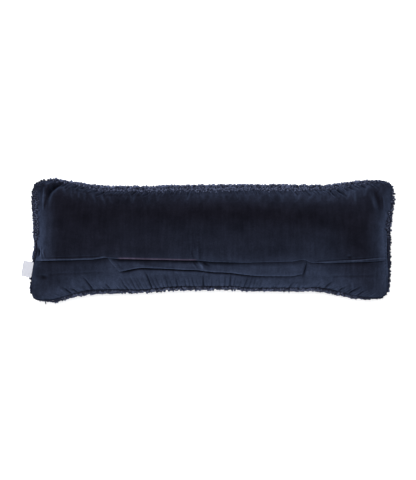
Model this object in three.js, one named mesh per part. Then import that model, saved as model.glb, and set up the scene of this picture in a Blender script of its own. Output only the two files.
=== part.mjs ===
// A long throw pillow with a hooked wool front and a velvet back, lying on the wool with the velvet up.
// Millimetres. X runs along the pillow, Y across it, and +Z up out of the velvet.
// The origin is on the flat of the wool that the pillow rests on, below its middle.
import * as THREE from "three";

const { clamp, lerp, smoothstep } = THREE.MathUtils;

// Driving dimensions
const CROWN = 68; // rise of the velvet back above the rim seam
const BELLY = 78; // fall of the filling below the rim seam, before the floor flattens it
const FLAT_BLEND = 6; // height over which the flattened underside rounds off
const PILE = 8; // base cloth and wool loops together
const CORNER_PILE = 0.45; // share of the pile that stands out at the corners
const LIP_RISE = 4; // loops that stand up past the rim seam
const SEWN_GAP = 0.4; // between pieces that are sewn together
const CORNER_RADIUS = 26;

// Curves of the filling from the middle to the seams, across and along the pillow
const ACROSS = { power: 2, round: 0.66 };
const ALONG = { power: 6, round: 0.6 };

// Corners of the rim seam before they are rounded. The pillow lies a little out of square.
const CORNERS = {
  upperLeft: new THREE.Vector3(-449, 148, 50),
  upperRight: new THREE.Vector3(459, 146, 48),
  lowerLeft: new THREE.Vector3(-457, -153, 46),
  lowerRight: new THREE.Vector3(446, -148, 48),
};

// Sides of the rim seam. Each is drawn in between its corners, by so much at these shares of its half length,
// and lies higher by its lift where it is drawn in most.
const SIDES = {
  upper: {
    from: "upperLeft",
    to: "upperRight",
    lift: 8,
    drawn: [
      { x: -0.92, pull: 0 },
      { x: -0.58, pull: 22 },
      { x: -0.4, pull: 22 },
      { x: -0.2, pull: 18.7 },
      { x: 0.1, pull: 16 },
      { x: 0.35, pull: 15.7 },
      { x: 0.6, pull: 18 },
      { x: 0.9, pull: 0 },
    ],
  },
  lower: {
    from: "lowerLeft",
    to: "lowerRight",
    lift: 8,
    drawn: [
      { x: -0.93, pull: 0 },
      { x: -0.65, pull: 25 },
      { x: -0.42, pull: 27.5 },
      { x: -0.15, pull: 35 },
      { x: 0.1, pull: 35 },
      { x: 0.27, pull: 30 },
      { x: 0.58, pull: 30 },
      { x: 0.93, pull: 0 },
    ],
  },
  left: {
    from: "lowerLeft",
    to: "upperLeft",
    lift: 5,
    drawn: [
      { x: -0.6, pull: 0 },
      { x: -0.16, pull: 12.5 },
      { x: 0.15, pull: 9 },
      { x: 0.8, pull: 0 },
    ],
  },
  right: {
    from: "lowerRight",
    to: "upperRight",
    lift: 5,
    drawn: [
      { x: -0.65, pull: 0 },
      { x: -0.1, pull: 8 },
      { x: 0.15, pull: 9 },
      { x: 0.68, pull: 0 },
    ],
  },
};

// The front rolls out past the seams of the long sides: by how much, at what distance in from the seam it does
// so most, and the shares of the half length between which that fades
const ROLL = { upper: 5, lower: 9, inset: 4, fades: [0.8, 0.98] };

// The lapped seam across the back: its place, and how far the upper panel stands above the lower one
const LAP_SEAM = [
  { x: -460, y: -57, lap: 1.6 },
  { x: -358, y: -54, lap: 1.8 },
  { x: -262, y: -48, lap: 2.6 },
  { x: -130, y: -50, lap: 3.2 },
  { x: -49, y: -52, lap: 2.6 },
  { x: 29, y: -57, lap: 3 },
  { x: 183, y: -58, lap: 3 },
  { x: 240, y: -55, lap: 2.4 },
  { x: 350, y: -56, lap: 1.8 },
  { x: 460, y: -54, lap: 1.6 },
];
const LAP_REACH = 26; // distance over which the lap's height fades into the upper panel
const LAP_GROOVE = 1.4; // depth that the stitching pulls the lower panel in
const GROOVE_REACH = 9;
const LAP_HALF = 0.8; // half the width of the step between the panels
const LAP_FADE = { gone: 0.1, whole: 0.45 }; // how full the pillow is where the lap dies away

// The flap over the closure: how far it hangs below the seam, and how far its free edge stands off
const FLAP = [
  { x: -262, drop: 30, lift: 0.8 },
  { x: -226, drop: 32, lift: 1.2 },
  { x: -171, drop: 23, lift: 3 },
  { x: -49, drop: 27, lift: 2.4 },
  { x: 20, drop: 29, lift: 1.6 },
  { x: 145, drop: 36, lift: 2.6 },
  { x: 240, drop: 37, lift: 1.6 },
];
const FLAP_THICK = 2;
const FLAP_CLEAR = 0.6; // above the lower panel along the seam
const FLAP_ENDS = { topLeft: -260, bottomLeft: -230, topRight: 239, bottomRight: 231 };

// Gathers where the velvet is eased onto the rim: place along the side, reach in from the rim,
// slant towards the ends, half width and depth
const GATHERS = [
  { side: "upper", at: -352, reach: 40, slant: -0.7, width: 8, depth: 3.2 },
  { side: "upper", at: -318, reach: 34, slant: -0.7, width: 7, depth: 2.6 },
  { side: "upper", at: -283, reach: 42, slant: -0.8, width: 8, depth: 3 },
  { side: "upper", at: -236, reach: 30, slant: -0.5, width: 8, depth: 2 },
  { side: "upper", at: -150, reach: 26, slant: -0.3, width: 9, depth: 1.6 },
  { side: "upper", at: -56, reach: 28, slant: -0.2, width: 8, depth: 2 },
  { side: "upper", at: 60, reach: 24, slant: 0.2, width: 9, depth: 1.5 },
  { side: "upper", at: 168, reach: 28, slant: 0.4, width: 9, depth: 1.8 },
  { side: "upper", at: 262, reach: 36, slant: 0.7, width: 8, depth: 2.6 },
  { side: "upper", at: 296, reach: 46, slant: 0.9, width: 8, depth: 3.4 },
  { side: "upper", at: 344, reach: 34, slant: 0.8, width: 7, depth: 2.6 },
  { side: "lower", at: -368, reach: 40, slant: -0.8, width: 8, depth: 3 },
  { side: "lower", at: -306, reach: 46, slant: -0.9, width: 8, depth: 3.6 },
  { side: "lower", at: -256, reach: 30, slant: -0.6, width: 8, depth: 2.4 },
  { side: "lower", at: -146, reach: 38, slant: -0.5, width: 8, depth: 3.2 },
  { side: "lower", at: -84, reach: 26, slant: -0.2, width: 8, depth: 1.8 },
  { side: "lower", at: -20, reach: 26, slant: 0, width: 8, depth: 2 },
  { side: "lower", at: 46, reach: 24, slant: 0.1, width: 8, depth: 1.8 },
  { side: "lower", at: 112, reach: 22, slant: 0.2, width: 8, depth: 1.8 },
  { side: "lower", at: 196, reach: 24, slant: 0.5, width: 9, depth: 1.8 },
  { side: "lower", at: 284, reach: 34, slant: 0.8, width: 8, depth: 2.4 },
  { side: "lower", at: 336, reach: 38, slant: 0.9, width: 8, depth: 2.6 },
];
const GATHER_START = 5; // the gathers grow over this distance from the rim
const GATHER_FULL = 1 / 3; // share of its reach over which a gather keeps its depth

// Folds at the ends, each along a bowed line in plan, with half width and depth
const FOLDS = [
  { from: [-380, 140], bow: [-414, 140], to: [-416, 92], width: 9, depth: 8 },
  { from: [406, 128], bow: [428, 110], to: [428, 66], width: 8, depth: 5 },
  { from: [-442, -20], bow: [-438, -32], to: [-432, -46], width: 7, depth: 6 },
  { from: [-420, -96], bow: [-404, -112], to: [-384, -124], width: 10, depth: 2.4 },
  { from: [436, -52], bow: [424, -60], to: [396, -62], width: 8, depth: 2 },
];
const FOLD_STEPS = 12;
const FOLD_TAPER = [0.12, 0.92]; // parts of a half wave by which a fold starts and ends shallow

// The label: its place along the left seam, size, and the droop of its free end
const LABEL = { y: -77.5, tall: 39, wide: 26, thick: 1.4, droop: 3 };
const LABEL_START = 1.2; // from the rim seam to the label's sewn edge

// Steps of the surfaces. The unseen and wool surfaces have half as many each way.
const COLUMNS = 92;
const ROWS_BELOW_LAP = 11;
const ROWS_ABOVE_LAP = 20;
const ROWS = ROWS_BELOW_LAP + 1 + ROWS_ABOVE_LAP;
const END_CROWDING = 0.25; // how much closer the columns lie towards the ends
const RIM_CROWDING = 1.4; // how much closer the rows lie towards the rim
const INNER_RING = 0.985; // where the half-as-fine grids stop short of the rim
const FLAP_STEPS = { along: 52, across: 5 };
const LABEL_STEPS = { out: 8, along: 6 };
const SLOPE_STEP = 0.004; // step on the patch for measuring a slope
const PLACE_ROUNDS = 12; // rounds of nearing a place on the patch
const HALF_SIZE = new THREE.Vector2(440, 120); // rough half length and half width

// A value between the rows of a table that is sorted by x, eased from row to row.
function fromTable(table, column, x) {
  const next = table.findIndex((row) => row.x > x);
  if (next === 0) return table[0][column];
  if (next < 0) return table.at(-1)[column];
  const [a, b] = [table[next - 1], table[next]];
  return lerp(a[column], b[column], smoothstep(x, a.x, b.x));
}

// A point of the rim seam, with t from -1 to 1 along a side. grow moves it outwards, less at the corners.
function rimPoint(side, t, grow) {
  const { from, to, lift, drawn } = SIDES[side];
  const [a, b] = [CORNERS[from], CORNERS[to]];
  const along = b.clone().sub(a).setZ(0).normalize();
  const inward = new THREE.Vector3(-along.y, along.x, 0);
  if (inward.dot(a) > 0) inward.negate();
  const cornerGrow = grow * CORNER_PILE;
  const radius = CORNER_RADIUS + cornerGrow;
  const length = Math.hypot(b.x - a.x, b.y - a.y) + 2 * cornerGrow;
  const toMiddleOfArc = radius * (1 - Math.SQRT1_2);
  const distance = lerp(toMiddleOfArc, length - toMiddleOfArc, (t + 1) / 2);
  const overArc = Math.max(0, radius - Math.min(distance, length - distance));
  const rounding = radius - Math.sqrt(radius ** 2 - overArc ** 2);
  const drawnIn = fromTable(drawn, "pull", t);
  const middle = drawnIn / Math.max(...drawn.map((row) => row.pull));
  const pull = drawnIn - (grow - cornerGrow) * middle;
  return a
    .clone()
    .addScaledVector(along, distance - cornerGrow)
    .addScaledVector(inward, rounding + pull - cornerGrow)
    .setZ(lerp(a.z, b.z, (t + 1) / 2) + lift * middle);
}

// A smooth patch between the four sides, with u and v from -1 to 1 along and across the pillow.
function rimPatch(u, v, grow) {
  const [right, upper] = [(u + 1) / 2, (v + 1) / 2];
  const [left, lower] = [1 - right, 1 - upper];
  return new THREE.Vector3()
    .addScaledVector(rimPoint("lower", u, grow), lower)
    .addScaledVector(rimPoint("upper", u, grow), upper)
    .addScaledVector(rimPoint("left", v, grow), left)
    .addScaledVector(rimPoint("right", v, grow), right)
    .addScaledVector(rimPoint("lower", -1, grow), -left * lower)
    .addScaledVector(rimPoint("lower", 1, grow), -right * lower)
    .addScaledVector(rimPoint("upper", -1, grow), -left * upper)
    .addScaledVector(rimPoint("upper", 1, grow), -right * upper);
}

// How full the pillow is at a point, from 0 at the seams to 1 in the middle.
function swell(u, v) {
  const across = (1 - Math.abs(v) ** ACROSS.power) ** ACROSS.round;
  const along = (1 - Math.abs(u) ** ALONG.power) ** ALONG.round;
  return across * along;
}

// A height above the floor after the pillow's weight has pressed it flat, rounded off at the edge of the flat.
function flattened(height) {
  if (height > FLAT_BLEND) return height;
  if (height < -FLAT_BLEND) return 0;
  return (height + FLAT_BLEND) ** 2 / (4 * FLAT_BLEND);
}

// How far the front rolls out across the pillow, past the seams of the long sides.
function rollOut(u, v) {
  const inset = ((1 - Math.abs(v)) * HALF_SIZE.y) / ROLL.inset;
  const most = v > 0 ? ROLL.upper : -ROLL.lower;
  return most * inset * Math.exp(1 - inset) * (1 - smoothstep(Math.abs(u), ...ROLL.fades));
}

// A point of the underside, moved out from the filling by some millimetres.
function frontPoint(u, v, out) {
  const point = rimPatch(u, v, out);
  point.y += rollOut(u, v);
  const floor = PILE + SEWN_GAP - out;
  return point.setZ(floor + flattened(point.z - (BELLY + out) * swell(u, v) - floor));
}

// The lap of the upper panel over the lower one, as a change in height. It dies away at the rim.
function lapRise(point, fullness) {
  const above = point.y - fromTable(LAP_SEAM, "y", point.x);
  const height =
    above > 0
      ? fromTable(LAP_SEAM, "lap", point.x) * Math.exp(-((above / LAP_REACH) ** 2))
      : -LAP_GROOVE * Math.exp(-((above / GROOVE_REACH) ** 2));
  return height * smoothstep(fullness, LAP_FADE.gone, LAP_FADE.whole);
}

// The velvet back without its gathers and folds.
function smoothBack(u, v) {
  const point = rimPatch(u, v, 0);
  const fullness = swell(u, v);
  return point.setZ(point.z + CROWN * fullness + lapRise(point, fullness));
}

// The outward direction of the smooth velvet back.
function backNormal(u, v) {
  const [u0, v0] = [u, v].map((place) => clamp(place, SLOPE_STEP - 1, 1 - SLOPE_STEP));
  const alongU = smoothBack(u0 + SLOPE_STEP, v0).sub(smoothBack(u0 - SLOPE_STEP, v0));
  const alongV = smoothBack(u0, v0 + SLOPE_STEP).sub(smoothBack(u0, v0 - SLOPE_STEP));
  return alongU.cross(alongV).normalize();
}

// How deep the gathers pull the velvet in at a point.
function gatherDepth(u, point) {
  let depth = 0;
  for (const { side, at, reach, slant, width, depth: deepest } of GATHERS) {
    const inFromRim = Math.abs(rimPoint(side, u, 0).y - point.y);
    const aside = (point.x - at - slant * inFromRim) / width;
    const grown = smoothstep(inFromRim, 0, GATHER_START);
    const faded = 1 - smoothstep(inFromRim, GATHER_FULL * reach, reach);
    depth += deepest * grown * faded * Math.exp(-(aside ** 2));
  }
  return depth;
}

// How deep the end folds pull the velvet in at a point.
function foldDepth(point) {
  const here = new THREE.Vector2(point.x, point.y);
  let depth = 0;
  for (const { from, bow, to, width, depth: deepest } of FOLDS) {
    const line = new THREE.QuadraticBezierCurve(
      new THREE.Vector2(...from),
      new THREE.Vector2(...bow),
      new THREE.Vector2(...to),
    );
    let strongest = 0;
    for (let step = 0; step <= FOLD_STEPS; step++) {
      const share = step / FOLD_STEPS;
      const taper = Math.sin(Math.PI * lerp(...FOLD_TAPER, share));
      const away = here.distanceTo(line.getPoint(share)) / width;
      strongest = Math.max(strongest, taper * Math.exp(-(away ** 2)));
    }
    depth += deepest * strongest;
  }
  return depth;
}

// A point of the velvet back with its gathers and folds, raised off it by some millimetres.
function backPoint(u, v, raise = 0) {
  const point = smoothBack(u, v);
  const onRim = Math.max(Math.abs(u), Math.abs(v)) === 1;
  if (onRim) return point;
  const inset = gatherDepth(u, point) + foldDepth(point);
  return point.addScaledVector(backNormal(u, v), raise - inset);
}

// The patch coordinates of a place in plan.
function placeOnPatch(x, y) {
  const place = new THREE.Vector2(x, y).divide(HALF_SIZE);
  for (let round = 0; round < PLACE_ROUNDS; round++) {
    const point = rimPatch(place.x, place.y, 0);
    place.x += (x - point.x) / HALF_SIZE.x;
    place.y += (y - point.y) / HALF_SIZE.y;
  }
  return place;
}

// Collects the points and triangles of one closed surface.
class Surface {
  constructor() {
    this.points = [];
    this.triangles = [];
  }

  add(point) {
    return this.points.push(point.x, point.y, point.z) / 3 - 1;
  }

  // A grid of points, with its triangles facing the side from which u to v turns left, or away from it.
  grid(columns, rows, pointAt, facing) {
    const index = [];
    for (let i = 0; i <= columns; i++) {
      index.push([]);
      for (let j = 0; j <= rows; j++) index[i].push(this.add(pointAt(i, j)));
    }
    for (let i = 0; i < columns; i++) {
      for (let j = 0; j < rows; j++) {
        const [a, b, c, d] = [index[i][j], index[i + 1][j], index[i + 1][j + 1], index[i][j + 1]];
        this.face(a, b, c, facing);
        this.face(a, c, d, facing);
      }
    }
    return Surface.border(index);
  }

  face(a, b, c, facing) {
    this.triangles.push(...(facing > 0 ? [a, b, c] : [a, c, b]));
  }

  // The indices round a grid's border, turning left.
  static border(index) {
    const [columns, rows] = [index.length - 1, index[0].length - 1];
    const ring = [];
    for (let i = 0; i < columns; i++) ring.push(index[i][0]);
    for (let j = 0; j < rows; j++) ring.push(index[columns][j]);
    for (let i = columns; i > 0; i--) ring.push(index[i][rows]);
    for (let j = rows; j > 0; j--) ring.push(index[0][j]);
    return ring;
  }

  // A band between two rings of as many points each.
  band(outer, inner, facing) {
    outer.forEach((point, k) => {
      const next = (k + 1) % outer.length;
      this.face(point, outer[next], inner[next], facing);
      this.face(point, inner[next], inner[k], facing);
    });
  }

  // A band between a ring and one with half as many points.
  halvingBand(fine, coarse, facing) {
    coarse.forEach((point, k) => {
      const next = coarse[(k + 1) % coarse.length];
      const [first, middle, last] = [fine[2 * k], fine[2 * k + 1], fine[(2 * k + 2) % fine.length]];
      this.face(first, middle, point, facing);
      this.face(middle, next, point, facing);
      this.face(middle, last, next, facing);
    });
  }

  geometry() {
    return new THREE.BufferGeometry()
      .setAttribute("position", new THREE.Float32BufferAttribute(this.points, 3))
      .setIndex(this.triangles);
  }
}

// The u of a column, with the columns closer together towards the ends.
function columnPlace(i) {
  const t = (2 * i) / COLUMNS - 1;
  return t * (1 + END_CROWDING * (1 - t * t));
}

// The v of a row in a column. Two rows lie on either side of the lap seam, and rows crowd towards the rim.
function rowPlace(u, j) {
  const x = rimPatch(u, 0, 0).x;
  const seam = fromTable(LAP_SEAM, "y", x);
  if (j <= ROWS_BELOW_LAP) {
    const below = placeOnPatch(x, seam - LAP_HALF).y;
    return lerp(-1, below, (j / ROWS_BELOW_LAP) ** RIM_CROWDING);
  }
  const above = placeOnPatch(x, seam + LAP_HALF).y;
  const toRim = 1 - (j - ROWS_BELOW_LAP - 1) / ROWS_ABOVE_LAP;
  return lerp(1, above, toRim ** RIM_CROWDING);
}

const columnPlaces = Array.from({ length: COLUMNS + 1 }, (_, i) => columnPlace(i));
const rowPlaces = columnPlaces.map((u) => Array.from({ length: ROWS + 1 }, (_, j) => rowPlace(u, j)));

// The patch coordinates of the points round the rim, turning left.
const borderPlaces = Surface.border(columnPlaces.map((u, i) => rowPlaces[i].map((v) => [u, v])));

// The half-as-fine underside at some distance out from the filling. Returns its border.
function underside(surface, out, facing) {
  const pointAt = (i, j) =>
    frontPoint(INNER_RING * columnPlaces[2 * i], INNER_RING * rowPlaces[2 * i][2 * j], out);
  return surface.grid(COLUMNS / 2, ROWS / 2, pointAt, facing);
}

// A ring of points along the rim at some distance out from the filling, raised above the seam.
function rimRing(surface, out, raise) {
  return borderPlaces.map(([u, v]) => {
    const point = rimPatch(u, v, out);
    return surface.add(point.setZ(point.z + raise));
  });
}

// The filled body: the velvet back above, closed by the filling's underside.
function cushionGeometry() {
  const surface = new Surface();
  const rim = surface.grid(COLUMNS, ROWS, (i, j) => backPoint(columnPlaces[i], rowPlaces[i][j]), 1);
  surface.halvingBand(rim, underside(surface, 0, -1), -1);
  return surface.geometry();
}

// The hooked wool front: a thick cloth round the underside, with loops that stand up past the rim seam.
function hookedFrontGeometry() {
  const surface = new Surface();
  const inside = rimRing(surface, SEWN_GAP, 0);
  const lip = rimRing(surface, SEWN_GAP + PILE / 2, LIP_RISE);
  const outside = rimRing(surface, SEWN_GAP + PILE, 0);
  surface.halvingBand(inside, underside(surface, SEWN_GAP, 1), 1);
  surface.band(lip, inside, 1);
  surface.band(outside, lip, 1);
  surface.halvingBand(outside, underside(surface, SEWN_GAP + PILE, -1), -1);
  return surface.geometry();
}

// A sheet of cloth between a lower face and the same face moved up by its thickness.
function sheetGeometry(columns, rows, pointAt) {
  const surface = new Surface();
  const lower = surface.grid(columns, rows, (i, j) => pointAt(i / columns, j / rows, 0), -1);
  const upper = surface.grid(columns, rows, (i, j) => pointAt(i / columns, j / rows, 1), 1);
  surface.band(lower, upper, 1);
  return surface.geometry();
}

// The flap over the closure, from its free lower edge up to the seam.
function flapGeometry() {
  return sheetGeometry(FLAP_STEPS.along, FLAP_STEPS.across, (share, rise, face) => {
    const fromSeam = 1 - rise;
    const { topLeft, bottomLeft, topRight, bottomRight } = FLAP_ENDS;
    const x = lerp(lerp(topLeft, bottomLeft, fromSeam), lerp(topRight, bottomRight, fromSeam), share);
    const top = fromTable(LAP_SEAM, "y", x) - LAP_HALF - FLAP_CLEAR;
    const place = placeOnPatch(x, top - fromTable(FLAP, "drop", x) * fromSeam);
    const standOff = FLAP_CLEAR + fromTable(FLAP, "lift", x) * fromSeam ** 2;
    return backPoint(place.x, place.y, standOff + FLAP_THICK * face);
  });
}

// The point of the left seam at a place across the pillow.
function onLeftSeam(y) {
  let [below, above] = [-1, 1];
  for (let round = 0; round < PLACE_ROUNDS; round++) {
    const t = (below + above) / 2;
    if (rimPoint("left", t, 0).y < y) below = t;
    else above = t;
  }
  return rimPoint("left", (below + above) / 2, 0);
}

// The label, laid over the loops from the left seam outwards.
function labelGeometry() {
  const [low, high] = [-1, 1].map((end) => onLeftSeam(LABEL.y + (end * LABEL.tall) / 2));
  const alongRim = high.clone().sub(low).setZ(0).normalize();
  const outward = new THREE.Vector3(-alongRim.y, alongRim.x, 0);
  return sheetGeometry(LABEL_STEPS.out, LABEL_STEPS.along, (share, rise, face) => {
    const root = low.clone().lerp(high, rise);
    const distance = LABEL_START + LABEL.wide * (1 - share);
    const overLip = LIP_RISE + SEWN_GAP - LABEL.droop * (1 - share) ** 2;
    return root.addScaledVector(outward, distance).add(new THREE.Vector3(0, 0, overLip + LABEL.thick * face));
  });
}

function piece(name, geometry, color, roughness) {
  const mesh = new THREE.Mesh(geometry, new THREE.MeshStandardMaterial({ color, roughness, metalness: 0 }));
  mesh.name = name;
  return mesh;
}

const VELVET = 0x1d2231;
const WOOL = 0x2c324c;
const LABEL_WHITE = 0xe4e5ee;

const pillow = new THREE.Group();
pillow.add(
  piece("cushion", cushionGeometry(), VELVET, 0.85),
  piece("hooked_front", hookedFrontGeometry(), WOOL, 0.95),
  piece("zip_flap", flapGeometry(), VELVET, 0.85),
  piece("label", labelGeometry(), LABEL_WHITE, 0.7),
);

export default pillow;
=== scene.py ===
"""Looks of a long throw pillow with a hooked wool front and a velvet back, lying with the velvet up."""

import math

import bpy
import numpy as np
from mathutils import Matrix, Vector


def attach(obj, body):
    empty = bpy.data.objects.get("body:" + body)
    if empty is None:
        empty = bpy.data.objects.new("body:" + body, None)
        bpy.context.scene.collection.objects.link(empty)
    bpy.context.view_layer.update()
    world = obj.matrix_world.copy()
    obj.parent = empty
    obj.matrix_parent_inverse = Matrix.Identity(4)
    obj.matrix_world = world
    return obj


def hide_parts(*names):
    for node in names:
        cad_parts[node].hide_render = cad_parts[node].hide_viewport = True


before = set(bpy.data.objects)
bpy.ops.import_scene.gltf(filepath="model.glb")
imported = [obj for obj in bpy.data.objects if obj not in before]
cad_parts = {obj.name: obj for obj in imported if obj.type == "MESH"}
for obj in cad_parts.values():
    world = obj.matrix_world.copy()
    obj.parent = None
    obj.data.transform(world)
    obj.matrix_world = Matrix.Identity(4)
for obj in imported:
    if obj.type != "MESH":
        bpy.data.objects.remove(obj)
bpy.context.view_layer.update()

# Millimetres from here on, as in the solids.
# X runs along the pillow, Y across it, and +Z up out of the velvet.
MM = 0.001
SEED = 7
TINY = 1e-9  # keeps divisors off zero

# Form of the filled pillow
CROWN = 68  # rise of the velvet above the rim seam
BELLY = 78  # fall of the filling below it, before its weight presses it flat
FLAT_BLEND = 6  # height over which the pressed flat blends into the round
PILE = 8  # height of the base cloth and the loops together
LIP_RISE = 4  # how far the loops next to the rim stand up past it
SEWN_GAP = 0.4  # between the filling and what is sewn round it
CORNER_PILE = 0.45  # of an outward growth, at the corners
CORNER_RADIUS = 26
ACROSS = dict(power=2, round=0.66)  # the profile of the filling across the pillow, and along it
ALONG = dict(power=6, round=0.6)

# The rim seam: its corners before they are rounded, and how far each side is lifted and drawn in between them
CORNERS = dict(
    upper_left=(-449, 148, 50),
    upper_right=(459, 146, 48),
    lower_left=(-457, -153, 46),
    lower_right=(446, -148, 48),
)
SIDES = dict(
    upper=dict(
        ends=("upper_left", "upper_right"),
        lift=8,
        drawn=dict(
            x=(-0.92, -0.58, -0.4, -0.2, 0.1, 0.35, 0.6, 0.9),
            pull=(0, 22, 22, 18.7, 16, 15.7, 18, 0),
        ),
    ),
    lower=dict(
        ends=("lower_left", "lower_right"),
        lift=8,
        drawn=dict(
            x=(-0.93, -0.65, -0.42, -0.15, 0.1, 0.27, 0.58, 0.93),
            pull=(0, 25, 27.5, 35, 35, 30, 30, 0),
        ),
    ),
    left=dict(
        ends=("lower_left", "upper_left"),
        lift=5,
        drawn=dict(x=(-0.6, -0.16, 0.15, 0.8), pull=(0, 12.5, 9, 0)),
    ),
    right=dict(
        ends=("lower_right", "upper_right"),
        lift=5,
        drawn=dict(x=(-0.65, -0.1, 0.15, 0.68), pull=(0, 8, 9, 0)),
    ),
)
ROLL = dict(upper=5, lower=9, inset=4, fades=(0.8, 0.98))  # of the front past the seams of the long sides
HALF_SIZE = (440, 120)  # rough half length and half width
SLOPE_STEP = 0.004  # step on the patch for measuring a slope
PATCH_ROUNDS = 12  # of nearing a place in plan

# The lapped seam across the back: its place, how far the upper panel stands above the lower one,
# and how deep the lower one is drawn in beside it
LAP_SEAM = dict(
    x=(-460, -358, -300, -260, -224, -130, -49, 16, 83, 153, 197, 226, 250, 300, 350, 460),
    y=(-54, -51, -48.5, -43.5, -46.3, -47.8, -49.6, -52.7, -54.2, -52.6, -51.5, -48.5, -56, -57.5, -56, -53),
    lap=(1.6, 1.8, 2.2, 2.6, 2.8, 3.2, 2.6, 3, 3, 3, 3, 2.4, 2.2, 2, 1.8, 1.6),
    groove=(1.4, 1.4, 1.7, 2, 3, 5, 4, 2.6, 2.6, 2.6, 2.6, 2, 1.8, 1.6, 1.4, 1.4),
)
LAP_FADE = (0.1, 0.45)  # how full the pillow is where the lap dies away
LAP_REACH = 26  # distance over which the lap's height fades into the upper panel
GROOVE_REACH = 6  # distance over which the groove below the lap fades
LAP_EDGE = 3  # width of the rolled edge of the lap
LAP_OVERHANG = 1.1  # how far the rolled edge hangs over, for each millimetre of lap
PALE_EDGE = (-224, -44)  # where the edge of the lap is painted pale pinkish: rubbed wear with a painted highlight on the fold
LAP_WORN = 0.7  # where across the rolled edge that pale colour is strongest, and over what width
LAP_WORN_WIDTH = 0.35
WEAR_FADE = 10  # distance over which such a stretch ends
HIGHLIGHT_LINE = dict(x=(240, 350, 440), y=(-55.5, -52, -46.5))  # where a painted highlight line runs to the right of the flap
HIGHLIGHT_LINE_WIDTH = 1.3
HIGHLIGHT_LINE_STRENGTH = 0.55  # how pale that painted highlight is, and the one along the edge of the lap to the left of the flap
LAP_SHADE = 1.7  # distance below the lap that lies in its shade
LAP_DARK = 0.85  # how deep that shade is
RIM_SHADE = (0.3, 2)  # distances from the lower side over which the shade beside the loops ends
RIM_DARK = dict(x=(-0.95, -0.7, -0.5, 0.4, 0.6, 0.95), dark=(0.2, 0.5, 0.85, 0.85, 0.3, 0.2))

# How far the velvet bulges over the seam of the lower side,
# and the distances from that side where it starts and ends
BULGE = dict(x=(-0.9, -0.6, -0.4, 0.5, 0.75, 0.9), out=(0, 3, 6, 6, 3, 0), starts=(0, 3), ends=(6, 30))

# Strokes of painted highlight on ridges, where the pile looks pale, and those in painted deep shade:
# a bowed line in plan, half width and strength
HIGHLIGHT_STROKES = (
    ((441, 26), (441.5, -30), (442.5, -94), 1.8, 0.9),
    ((401, 112), (405, 96), (410, 80), 4, 0.25),
    ((360, 118), (360, 106), (358, 92), 4, 0.2),
    ((-433, -22), (-430, -32), (-428, -46), 2, 0.5),
    ((-424, -28), (-421, -36), (-419, -46), 1.6, 0.4),
    ((-421, 126), (-422, 104), (-421, 80), 2, 0.3),
    ((-42, -24), (-41, -36), (-38.5, -47), 1.5, 0.3),
    ((-35, -16), (-34.5, -32), (-33.5, -47), 1.3, 0.25),
)
DARK_STROKES = (
    ((-439, -25), (-438, -31), (-437, -37), 4.6, 1),
    ((-426, 142), (-430, 128), (-431, 108), 8, 0.45),
    ((-50, -26), (-48, -36), (-44, -47), 1.8, 0.6),
    ((-31, 0), (-30.5, -24), (-29.5, -47), 1.5, 0.5),
)
LOWER_SHEEN = dict(x=(-0.8, -0.5, 0.5, 0.8), nap=(0.05, 0.22, 0.27, 0.1))  # painted sheen: how pale it is by the lower side
LOWER_SHEEN_REACH = (4, 24)  # distances from that side over which this ends
LEFT_SHADE = dict(dark=0.35, reach=13)  # the soft shade below the lap, to the left of the flap

# Rows of stitches that show as shallow grooves: place along the pillow, place across it, and depth
STITCH_ROWS = (
    dict(x=(252, 440), y=(-52.5, -43.5), depth=0.8),
    dict(x=(-440, -270), y=(-46, -40), depth=0.5),
    dict(x=(-420, -262), y=(-87, -80), depth=0.6),
    dict(x=(304, 412), y=(-91, -90), depth=0.6),
)
STITCH_WIDTH = 1.8  # half width of a groove
STITCH_FADE = 12  # distance over which it ends

# Gathers where the velvet is eased onto the rim: place along the side, reach in from the rim,
# slant towards the ends, half width and depth
GATHERS = (
    ("upper", -338, 14, -1.2, 3.6, 2.4),
    ("upper", -320, 12, -1.2, 3.4, 2),
    ("upper", -286, 16, -1.2, 3.6, 3.2),
    ("upper", -265, 22, -1.3, 4, 4),
    ("upper", -186, 14, -1.2, 3.4, 2.6),
    ("upper", -151, 18, -1.3, 3.6, 3.4),
    ("upper", -56, 28, -0.2, 6, 1),
    ("upper", 60, 20, 0.2, 6, 0.8),
    ("upper", 168, 20, 0.5, 5, 1),
    ("upper", 228, 14, 1, 3.6, 1.4),
    ("upper", 295, 34, 0.67, 3.2, 3.2),
    ("upper", 312, 34, 0.86, 3.4, 4),
    ("upper", 342, 20, 1.1, 3.6, 3.2),
    ("upper", 357, 18, 0.9, 3.6, 2.6),
    ("upper", 372, 20, 1, 3.6, 2.8),
    ("upper", 390, 16, 0.9, 3.6, 1.8),
    ("lower", -353, 32, -0.87, 4, 3.2),
    ("lower", -337, 20, -1.2, 3.4, 2.8),
    ("lower", -299, 46, -0.62, 3.6, 3.6),
    ("lower", -256, 18, -0.6, 4, 1.4),
    ("lower", -209, 16, -1, 3.6, 2.4),
    ("lower", -149, 54, -0.4, 3.2, 3.8),
    ("lower", -84, 26, -0.2, 4, 1.2),
    ("lower", -20, 26, 0, 4, 1.2),
    ("lower", 46, 24, 0.1, 4, 1.2),
    ("lower", 112, 22, 0.2, 4, 1.2),
    ("lower", 196, 20, 0.6, 4, 1.4),
    ("lower", 284, 24, 1, 4, 2.4),
    ("lower", 318, 22, 1.1, 3.4, 2.4),
    ("lower", 345, 30, 1.1, 3.6, 3.4),
    ("lower", 368, 24, 1, 3.4, 2.4),
)
GATHER_START = 5  # the gathers grow over this distance from the rim
GATHER_FADE = 3  # they keep their depth over the first of so many parts of their reach
GATHER_SHOULDERS = 1.2  # how marked the low shoulders beside a gather are
FOLD_START = 2  # the folds grow over this distance from the rim
GATHER_SHARE = 0.9  # of the gathers' depth, pressed in after the simulation
FINE_GATHERS = dict(
    ends=400,
    pitch=(8, 14),
    reach=(10, 24),
    width=(2.6, 4),
    depth=(0.3, 1.1),
    slant=1.1,
    uneven=0.15,
)
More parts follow.
